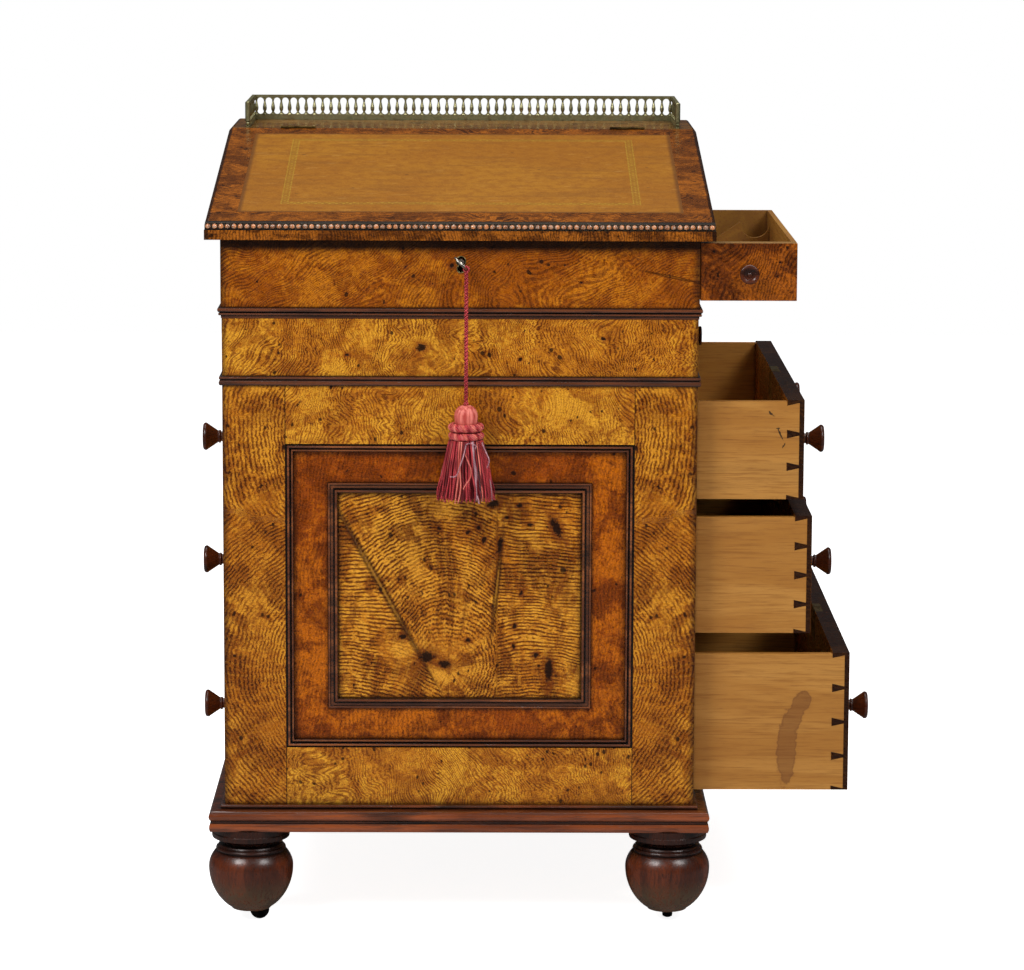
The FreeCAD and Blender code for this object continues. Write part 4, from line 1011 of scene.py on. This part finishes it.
def tassel_cord():
    """A two-ply cord from the key's bow to the tassel, with its loop and its knot."""
    top, _, _ = tassel_shape()
    low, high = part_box("tassel_cord")
    loop_radius = (high[0] - low[0]) / 2 - CORD_PLY
    loop_centre = Vector((top.x, top.y, high[2] - loop_radius - CORD_PLY))
    upper, lower = loop_centre.z - loop_radius, top.z
    route = [(top.x, top.y, upper + (lower - upper) * share) for share in (0.0, 0.25, 0.5, 0.75, 1.0)]
    line = nurbs_route(route)
    cord = joined("silk_cord", twisted(line, 2, CORD_PLY * 0.92, CORD_PLY, CORD_LAY))
    cord.data.materials.append(CORD_SILK)
    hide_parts("tassel_cord")
    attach(cord, "tassel")

    turns = [2 * math.pi * i / LOOP_STEPS for i in range(LOOP_STEPS + 1)]
    ring = [loop_centre + Vector((math.sin(a), 0, math.cos(a))) * loop_radius for a in turns]
    loop_lay = 2 * math.pi * loop_radius / 3
    loop = joined("cord_loop", twisted(ring, 2, CORD_PLY * 0.5, CORD_PLY * 0.62, loop_lay))
    hitch = joined("cord_knot", knot_round(top))
    for piece in (loop, hitch):
        piece.data.materials.append(CORD_SILK)
        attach(piece, "tassel")
    return cord, [loop, hitch], route


def knot_round(top):
    """The knot where the cord meets the tassel: two tilted turns round a ball."""
    up = top.z + 1.2 * MM
    parts = []
    for tilt, size in ((0.35, 1.0), (-0.3, 0.94)):
        line = [
            Vector((
                top.x + math.cos(a) * 1.7 * MM * size, top.y + math.sin(a) * 1.7 * MM * size,
                up + math.cos(a) * tilt * 3.0 * MM,
            )) for a in (2 * math.pi * i / KNOT_STEPS for i in range(KNOT_STEPS + 1))
        ]
        parts.append(tube(line, 1.15 * MM, 8))
    return parts + [ball((top.x, top.y, up - 1.0 * MM), 2.2 * MM)]


def against_case(place, wall, clear=0.0):
    """Threads that would go through the case lie flat against it instead."""
    return Vector((place.x, min(place.y, wall - clear), place.z))


def tassel_head():
    """The bound head: threads laid up and down it, with a crease here and there."""
    top, _, wall = tassel_shape()
    outline = [
        (0.4, 0.3), (5.0, 0.2), (8.6, -1.8), (11.2, -5.2), (12.4, -9.5), (12.4, -14.0), (11.6, -18.5),
        (11.0, -22.0),
    ]
    vertices = []
    for radius, below in outline:
        for j in range(HEAD_SIDES):
            turn = 2 * math.pi * j / HEAD_SIDES
            lobe = 1.0 + 0.018 * math.cos(turn * 30) - 0.05 * math.exp(-((turn - 4.85) / 0.05) ** 2)
            vertices.append(against_case(top + around_axis(turn, radius * lobe, below) * MM, wall))
    head = mesh_object("tassel_head", vertices, ring_faces(len(outline), HEAD_SIDES, inside_out=True))
    rounding = head.modifiers.new("smooth", "SUBSURF")
    rounding.levels = rounding.render_levels = 1
    return head


def tassel_ruff(row, below, radius):
    """One round of the ruff: three strands twisted together and closed into a ring."""
    top, _, wall = tassel_shape()
    pieces = []
    for s in range(3):
        path = []
        for i in range(RUFF_STEPS + 1):
            turn = 2 * math.pi * i / RUFF_STEPS
            spin = -RUFF_TWISTS * turn + 2 * math.pi * s / 3 + row
            out = radius - 4.1 + 2.0 * math.cos(spin) + 0.35 * math.sin(5.0 * turn + row)
            place = top + around_axis(turn, out, below + 2.0 * math.sin(spin)) * MM
            path.append(against_case(place, wall, 2.2 * MM))
        pieces.append(joined("ruff_%d_%d" % (row, s), [tube(path, 2.35 * MM, 9)]))
    return pieces


def thread(start, end, belly, radius, draw, wall):
    """One hanging thread, which bows out and wanders a little on its way down."""
    steps = 15
    drift = Vector((draw.uniform(-1, 1), draw.uniform(-1, 1), 0)) * 2.1 * MM
    phase, waves = draw.uniform(0, 6.28), draw.uniform(0.8, 2.0)
    path = []
    for i in range(steps + 1):
        t = i / steps
        place = start.lerp(end, t) + belly * math.sin(math.pi * t) * 0.6
        place += drift * math.sin(phase + waves * 2 * math.pi * t) * t
        path.append(against_case(place, wall, radius))
    return swept(path, lambda t: circle(radius * (1.0 if t < 0.93 else 0.75), 5))


def tassel_skirt():
    """Threads of several tones in three layers, longest in the middle of the fall."""
    top, greatest, wall = tassel_shape()
    draw = random.Random(11)
    bunches = {tone: [] for tone in THREAD_SHARES}
    choices = [tone for tone, share in THREAD_SHARES.items() for _ in range(share)]
    for layer, (count, at_top, at_foot) in enumerate(SKIRT_LAYERS):
        for i in range(count):
            turn = 2 * math.pi * (i + draw.uniform(-0.5, 0.5)) / count
            out = around_axis(turn, 1.0)
            foot_out = around_axis(turn + draw.uniform(-0.05, 0.05), 1.0)
            foot_radius = (at_foot + draw.uniform(-1.6, 1.0)) * MM
            hang = (-101.5 + (at_foot / 30.0) * draw.uniform(0.0, 3.5) + 1.6 * layer) * MM
            start = top + out * at_top * MM + Vector((0, 0, -36.5 * MM))
            end = top + foot_out * min(foot_radius, greatest - 1.0 * MM) + Vector((0, 0, hang))
            size = draw.uniform(0.85, 1.15) * MM
            tone = draw.choice(choices)
            bunches[tone].append(thread(start, end, out * 1.6 * MM, size, draw, wall))
    for tone, stray in STRAY_THREADS:
        line = nurbs_route([top + Vector(place) * MM for place in stray])
        line = [against_case(place, wall, 0.7 * MM) for place in line[::6]]
        bunches[tone].append(tube(line, 0.65 * MM, 6))
    return [(joined("skirt_" + tone, threads), tone) for tone, threads in bunches.items()]


def tassel_core():
    """The dark heart of the skirt, behind the threads: a cone in the darkest silk, as painted shade for the
    inner threads.
    """
    top, _, wall = tassel_shape()
    outline = [(12.0, -30.0), (14.0, -40.0), (21.0, -75.0), (24.5, -97.0), (0.2, -98.0)]
    vertices = [
        against_case(top + around_axis(2 * math.pi * j / CORE_SIDES, radius, below) * MM, wall)
        for radius, below in outline for j in range(CORE_SIDES)
    ]
    return mesh_object("tassel_core", vertices, ring_faces(len(outline), CORE_SIDES, inside_out=True))


def hang_tassel():
    """The tassel and its cord, which hang from the key."""
    cord, on_cord, route = tassel_cord()
    silks = {
        "crimson": silk("silk_crimson", paint(104, 8, 20), paint(214, 66, 72)),
        "salmon": silk("silk_salmon", paint(180, 62, 52), paint(234, 134, 118)),
        "wine": silk("silk_wine", paint(78, 6, 14), paint(142, 24, 34)),
        "lilac": silk("silk_lilac", paint(122, 68, 80), paint(196, 150, 156)),
        "rose": silk("silk_rose", paint(150, 40, 46), paint(218, 104, 100)),
    }
    head, core = tassel_head(), tassel_core()
    head.data.materials.append(silk("silk_head", paint(176, 60, 52), paint(230, 128, 114), lift=0.02))
    # The darkest silk, as painted shade inside the skirt
    core.data.materials.append(silks["wine"])
    pieces = [head, core]
    for row, below in enumerate((-23.2, -32.4)):
        for ring, tone in zip(tassel_ruff(row, below, 18.9), ("rose", "salmon", "crimson")):
            ring.data.materials.append(silks[tone])
            pieces.append(ring)
    for bunch, tone in tassel_skirt():
        bunch.data.materials.append(silks[tone])
        pieces.append(bunch)
    for piece in pieces:
        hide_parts("tassel")
        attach(piece, "tassel")
    length = route[0][2] - route[-1][2]
    nurbs_route(route)


# ---------------------------------------------------------------- camera, stage and light
CAMERA_PLACE = (0.0252, -4.53524, 1.1629)
CAMERA_TILT = 0.158677          # downwards, in radians, as are the two below
CAMERA_TURN = 0.00715876        # to the right
CAMERA_ROLL = 0.00408044
CAMERA_LENS = 141.8             # in millimetres, on film 36 mm wide
WORLD_FILL = 0.24
WORLD_MIRRORED = 0.06
FLOOR_HALF = 5.0
FLOOR_GLOW = 0.90
WHITE = (1.0, 1.0, 1.0, 1.0)


def camera():
    """The photograph's view: from in front of the desk and a little above it."""
    data = bpy.data.cameras.new("camera")
    data.lens = CAMERA_LENS
    data.sensor_width = 36.0
    data.clip_end = 100.0
    made = bpy.data.objects.new("camera", data)
    bpy.context.scene.collection.objects.link(made)
    tilt, turn, roll = CAMERA_TILT, CAMERA_TURN, CAMERA_ROLL
    ahead = Vector((math.sin(turn) * math.cos(tilt), math.cos(turn) * math.cos(tilt), -math.sin(tilt)))
    level = Vector((math.cos(turn), -math.sin(turn), 0))
    above = level.cross(ahead)
    right = level * math.cos(roll) + above * math.sin(roll)
    up = above * math.cos(roll) - level * math.sin(roll)
    turned = Matrix((right, up, -ahead)).transposed().to_4x4()
    made.matrix_world = Matrix.Translation(CAMERA_PLACE) @ turned
    bpy.context.scene.camera = made


def softbox(name, place, aim, width, height, power):
    """A white rectangular light, aimed at a point."""
    data = bpy.data.lights.new(name, "AREA")
    data.shape = "RECTANGLE"
    data.size, data.size_y = width, height
    data.energy = power
    made = bpy.data.objects.new(name, data)
    made.location = place
    made.rotation_euler = (Vector(aim) - Vector(place)).to_track_quat("-Z", "Y").to_euler()
    bpy.context.scene.collection.objects.link(made)


def grey(shade):
    """A grey as light, from 0 to 1."""
    return (shade, shade, shade, 1.0)


def ray_kinds(tree):
    """One for what the camera sees, and one for what is seen mirrored in polish."""
    path = tree.nodes.new("ShaderNodeLightPath")
    return [Value(tree, path.outputs[kind]) for kind in ("Is Camera Ray", "Is Glossy Ray")]


def white_world():
    """White to the camera, dim in reflections, and soft to everything else that it lights."""
    world = bpy.data.worlds.new("world")
    bpy.context.scene.world = world
    world.use_nodes = True
    tree = world.node_tree
    tree.nodes.clear()
    seen, mirrored = ray_kinds(tree)
    strength = mirrored * (WORLD_MIRRORED - WORLD_FILL) + WORLD_FILL
    colour = mix(paint(236, 240, 246), WHITE, seen)
    strength = seen * (1.0 - WORLD_FILL) + strength
    light = node(tree, "Background", {"Color": colour, "Strength": strength})
    out = tree.nodes.new("ShaderNodeOutputWorld")
    tree.links.new(light.socket, out.inputs[0])


def white_floor():
    """A floor that is white to the camera and dim in reflections."""
    half = FLOOR_HALF
    floor = mesh_object(
        "floor", [(-half, -half, 0), (half, -half, 0), (half, half, 0), (-half, half, 0)], [(0, 1, 2, 3)],
    )
    tree = new_material("floor")
    seen, mirrored = ray_kinds(tree)
    x, y, _ = object_point(tree)
    near = step(sum_node("SQRT", x * x + y * y), 0.55, 0.95, 1.0, 0.0)
    shade = mix(grey(0.86), mix(grey(0.14), grey(0.22), near), mirrored)
    matt = node(tree, "BsdfDiffuse", {"Color": shade})
    glow = node(tree, "Emission", {"Color": WHITE, "Strength": seen * FLOOR_GLOW})
    both = node(tree, "AddShader", {0: matt, 1: glow})
    out = tree.nodes.new("ShaderNodeOutputMaterial")
    tree.links.new(both.socket, out.inputs[0])
    floor.data.materials.append(MATERIALS["floor"])


def stage():
    """The backdrop, the floor and three soft lights: where each stands, and what it aims at."""
    bpy.context.scene.view_settings.view_transform = "Standard"
    white_world()
    white_floor()
    softbox("left_light", (-1.9, -2.4, 2.7), (0, -0.2, 0.45), 1.5, 1.1, 80)
    softbox("right_light", (1.9, -2.2, 2.7), (0, -0.1, 0.45), 1.3, 1.0, 54)
    softbox("top_light", (0.0, 0.3, 3.0), (0, 0, 0.6), 2.2, 1.6, 40)


# ---------------------------------------------------------------- dressing the frame
# Knots and scars: place across and up, half length, half width (all in millimetres), and tilt
PANEL_KNOTS = [
    ((103, 436), 13.0, 5.0, -62), ((43, 416), 9.5, 3.2, 82), ((26, 422), 4.8, 2.6, 70),
    ((-22, 434), 2.8, 2.2, 0), ((9, 430), 3.2, 2.4, 30), ((20, 435), 3.0, 2.2, 0), ((36, 461), 7.0, 4.6, 20),
    ((64, 459), 3.4, 2.4, 0), ((50, 446), 3.4, 1.8, 0), ((75, 438), 3.6, 1.8, 0), ((66, 364), 3.2, 2.0, 60),
    ((59, 328), 2.4, 3.4, 0), ((58, 306), 2.2, 3.2, 0), ((-35, 294), 9.0, 7.0, 10), ((-16, 286), 7.0, 4.4, 0),
    ((-61, 316), 4.6, 3.4, 0), ((96, 280), 5.0, 14.0, 0), ((82, 296), 3.6, 3.0, 0), ((9, 312), 3.2, 2.4, 0),
]
PANEL_SCARS = [((-85, 372), 66.0, 2.4, -61), ((40, 372), 34.0, 1.8, 84)]
BOX_STAINS = [((-9, 718), 2.6, 2.8, 0), ((-58, 716), 2.0, 1.0, 40), ((128, 700), 1.8, 1.2, 0)]
BOX_SCARS = [((225, 706), 20.0, 0.9, -12)]
FRIEZE_KNOTS = [
    ((-41, 630), 6.0, 4.4, 20), ((-120, 622), 2.4, 1.6, 0), ((64, 618), 2.8, 1.8, 40),
    ((152, 640), 3.0, 2.0, -20),
]
STILE_KNOTS = [
    ((-212, 444), 13.0, 2.2, -4), ((-208, 430), 17.0, 0.9, -22), ((-200, 492), 3.4, 1.0, -35),
    ((-240, 541), 2.2, 2.6, 0), ((-208, 549), 2.4, 1.8, 0), ((-199, 534), 2.2, 1.8, 0),
    ((-228, 540), 2.2, 6.0, 10),
]
PEN_KNOTS = [((268.5, 733.0), 1.7, 1.5, 0), ((339, 722), 1.4, 1.0, 0), ((336, 707), 1.6, 1.1, 30)]
SIDE_FIGURE = dict(rings=0.8, rays=0.4, mottle=0.45, wrinkle=0.9, wander=0.04, spread=0.9, specks=0.9)


def dress(names, material, bevel=0.0):
    """Gives CAD nodes their material, and takes the sharpness off the edges of boards, by a
    bevel in millimetres."""
    for name in names:
        part = NODES[name]
        part.data.materials.clear()
        part.data.materials.append(material)
        if bevel:
            weld = part.modifiers.new("weld", "WELD")
            weld.merge_threshold = 0.01 * MM
            rounding = part.modifiers.new("rounding", "BEVEL")
            rounding.width = bevel * MM
            rounding.segments = 2
            rounding.limit_method = "ANGLE"
            rounding.angle_limit = math.radians(40)
            rounding.harden_normals = True


camera()
stage()

dress(["box_front"], veneer(
    "box_front_veneer", 1.0, (0.35, 0.35), ORANGE, rings=0.55, rays=0.4, mottle=0.25, knots=0.1, specks=0.5,
    wander=0.05, pitch=3.4, fleck=0.6, edge=lid_shadow_and_corner_wear, blots=BOX_STAINS, streaks=BOX_SCARS,
))
dress(["frieze_boards"], veneer(
    "frieze_veneer", 2.0, (0.9, 0.60), HONEY, rings=0.85, rays=0.4, mottle=0.6, knots=0.1, specks=1.2,
    wander=0.05, wrinkle=1.1, spread=0.8, pitch=3.4, edge=corner_edge, blots=FRIEZE_KNOTS,
), 0.4)
dress(["front_frame"], veneer(
    "front_frame_veneer", 3.0, (0.9, 0.5), HONEY, rings=0.7, rays=0.4, wander=0.05, knots=0.1, specks=1.3,
    mottle=0.6, wrinkle=1.0, spread=0.8, pitch=3.4, fleck=0.7,
    zone=(stile_zone, two_fans, dict(
        shades=STILE_HONEY, rings=0.9, rays=0.7, wander=0.012, knots=0.05, pitch=4.0, specks=0.7,
        mottle=0.65, wrinkle=0.5, spread=0.14, blots=STILE_KNOTS,
    )),
    edge=case_edge,
), 0.4)
dress(["front_panel"], veneer(
    "front_panel_veneer", 4.0, (0.9, 0.30), RUSSET, rings=0.3, rays=0.3, mottle=0.5, knots=0.0, specks=0.3,
    spread=0.8, pitch=4.6, dust_and_shade_reach=16.0,
    zone=(panel_zone, three_fans, dict(
        shades=PANEL_HONEY, rings=1.0, rays=0.8, wander=0.012, knots=0.0, specks=1.1, pitch=3.9, mottle=0.8,
        wrinkle=0.42, spread=0.13, blots=PANEL_KNOTS, streaks=PANEL_SCARS,
    )),
))
dress(["lid_board"], veneer(
    "lid_veneer", 5.0, (0.0, 1.2), LID_BROWN, rings=0.65, rays=0.3, mottle=0.40, knots=0.1, specks=0.9,
    wander=0.05, spread=1.0,
    zone=(lid_front_zone, one_fan((0.9, 0.75)), dict(
        shades=LID_BROWN, rings=0.6, rays=0.5, mottle=0.7, specks=1.2, pitch=3.0, fleck=1.0, spread=0.8,
    )),
    edge=lid_side_edge, gloss=0.24,
), 0.7)
dress(["gallery_shelf"], veneer(
    "shelf_veneer", 6.0, (0.0, 1.5), SHELF_BROWN, rings=0.6, rays=0.3, mottle=0.5, knots=0.2, gloss=0.17,
    edge=lid_side_edge,
), 0.7)
dress(["box_sides", "box_back"], veneer("box_side_veneer", 7.0, (0.1, 1.3), ORANGE, **SIDE_FIGURE), 0.4)
dress(["side_rails"], veneer("side_veneer", 8.0, (0.2, -0.9), HONEY, **SIDE_FIGURE), 0.5)
dress(["dummy_drawer_fronts"], veneer("dummy_veneer", 10.0, (0.2, -0.9), ORANGE, **SIDE_FIGURE), 0.5)
dress(["back_panel"], veneer("back_panel_veneer", 9.0, (0.9, 0.3), ORANGE, **SIDE_FIGURE), 0.4)
dress(
    ["back_frame"], veneer("back_frame_veneer", 9.5, (0.9, 0.5), HONEY, edge=case_edge, **SIDE_FIGURE), 0.4,
)
DRAWERS = ("drawer_top", "drawer_middle", "drawer_bottom")
for seed, name in enumerate(DRAWERS):
    dress([name + "_front"], veneer(
        name + "_front_veneer", 12.0 + seed, (0.2, -0.9), ORANGE, edge=drawer_front_ends, **SIDE_FIGURE,
    ), 0.6)
dress(["pen_drawer_front"], veneer(
    "pen_front_veneer", 16.0, (0.62, 0.55), PEN_RUSSET, rings=0.6, rays=0.5, mottle=0.6, knots=0.3,
    specks=0.6, wander=0.04, blots=PEN_KNOTS, edge=top_edges, edge_colour=(150, 112, 62),
), 0.5)
dress(["brushing_slide"], veneer("slide_veneer", 17.0, (0.1, 1.6), ORANGE, rings=0.4), 0.5)

dress(
    ["plinth_moulding"],
    moulding_wood("plinth_wood", PLINTH_BROWN, hollow=9.0, side_shade=plinth_top_shade, veins=0.8),
)
dress(["panel_mouldings"], moulding_wood("panel_moulding_wood", MOULDING_BROWN, side_shade=front_moulding_side_shade))
dress(["base_mouldings", "box_moulding"], moulding_wood("reed_wood", REED_BROWN))
knobs = ["dummy_knobs", "brushing_slide_knob", "pen_drawer_knob"] + [name + "_knobs" for name in DRAWERS]
dress(knobs, turned_rosewood("knob_rosewood", along="x", light=0.7))

lining = straight_grain(
    "pale_lining", LINING, "x", stretch=24.0, width=520.0, gloss=0.5, pores=0.25, veins=0.15,
    washes=[((104, 58, 24), old_stain), ((26, 14, 8), ink_marks)], Specular_IOR_Level=0.3,
)
dress([name + "_case" for name in DRAWERS], lining, 0.4)
pen_lining = straight_grain("pen_lining", PEN_LINING, "y", gloss=0.45)
dress(["pen_drawer_tray", "pen_drawer_housing", "pen_drawer_carrier"], pen_lining, 0.3)
dress(["box_floor"], pen_lining)
pine = straight_grain("carcass_pine", PINE, "x", width=200.0, gloss=0.6)
dress(["bottom_board", "drawer_runners", "middle_board", "base_top_board"], pine)

brass = metal("aged_brass", paint(176, 170, 128), paint(104, 100, 70), 0.34, 0.8)
dress(["brass_gallery"], brass)
# Brass darkened for tarnish and, as painted shade, so that the hinges sink into the dark band where they sit
tarnished_shaded_brass = metal("tarnished_shaded_brass", paint(84, 66, 34), paint(38, 27, 14), 0.45, 0.9)
dress(["hinge_leaves", "lid_brass"], tarnished_shaded_brass)
lock_brass = metal("lock_brass", paint(150, 128, 84), paint(70, 56, 36), 0.35, 0.9)
dress([name + "_lock" for name in DRAWERS] + ["box_lock"], lock_brass)
iron = metal("dark_iron", paint(44, 42, 40), paint(24, 20, 17), 0.40, 0.9)
dress([name for name in NODES if name.startswith("castor_")], iron)
steel = metal("key_steel", paint(196, 190, 178), paint(120, 110, 96), 0.22)
dress(["key", "lock_bolt"], steel)
dress(["writing_leather"], leather("tooled_leather"))
CORD_SILK = silk("silk_cord", paint(120, 12, 26), paint(206, 72, 76))
turned_feet()
bead_row()
keyhole_rim()
hang_tassel()
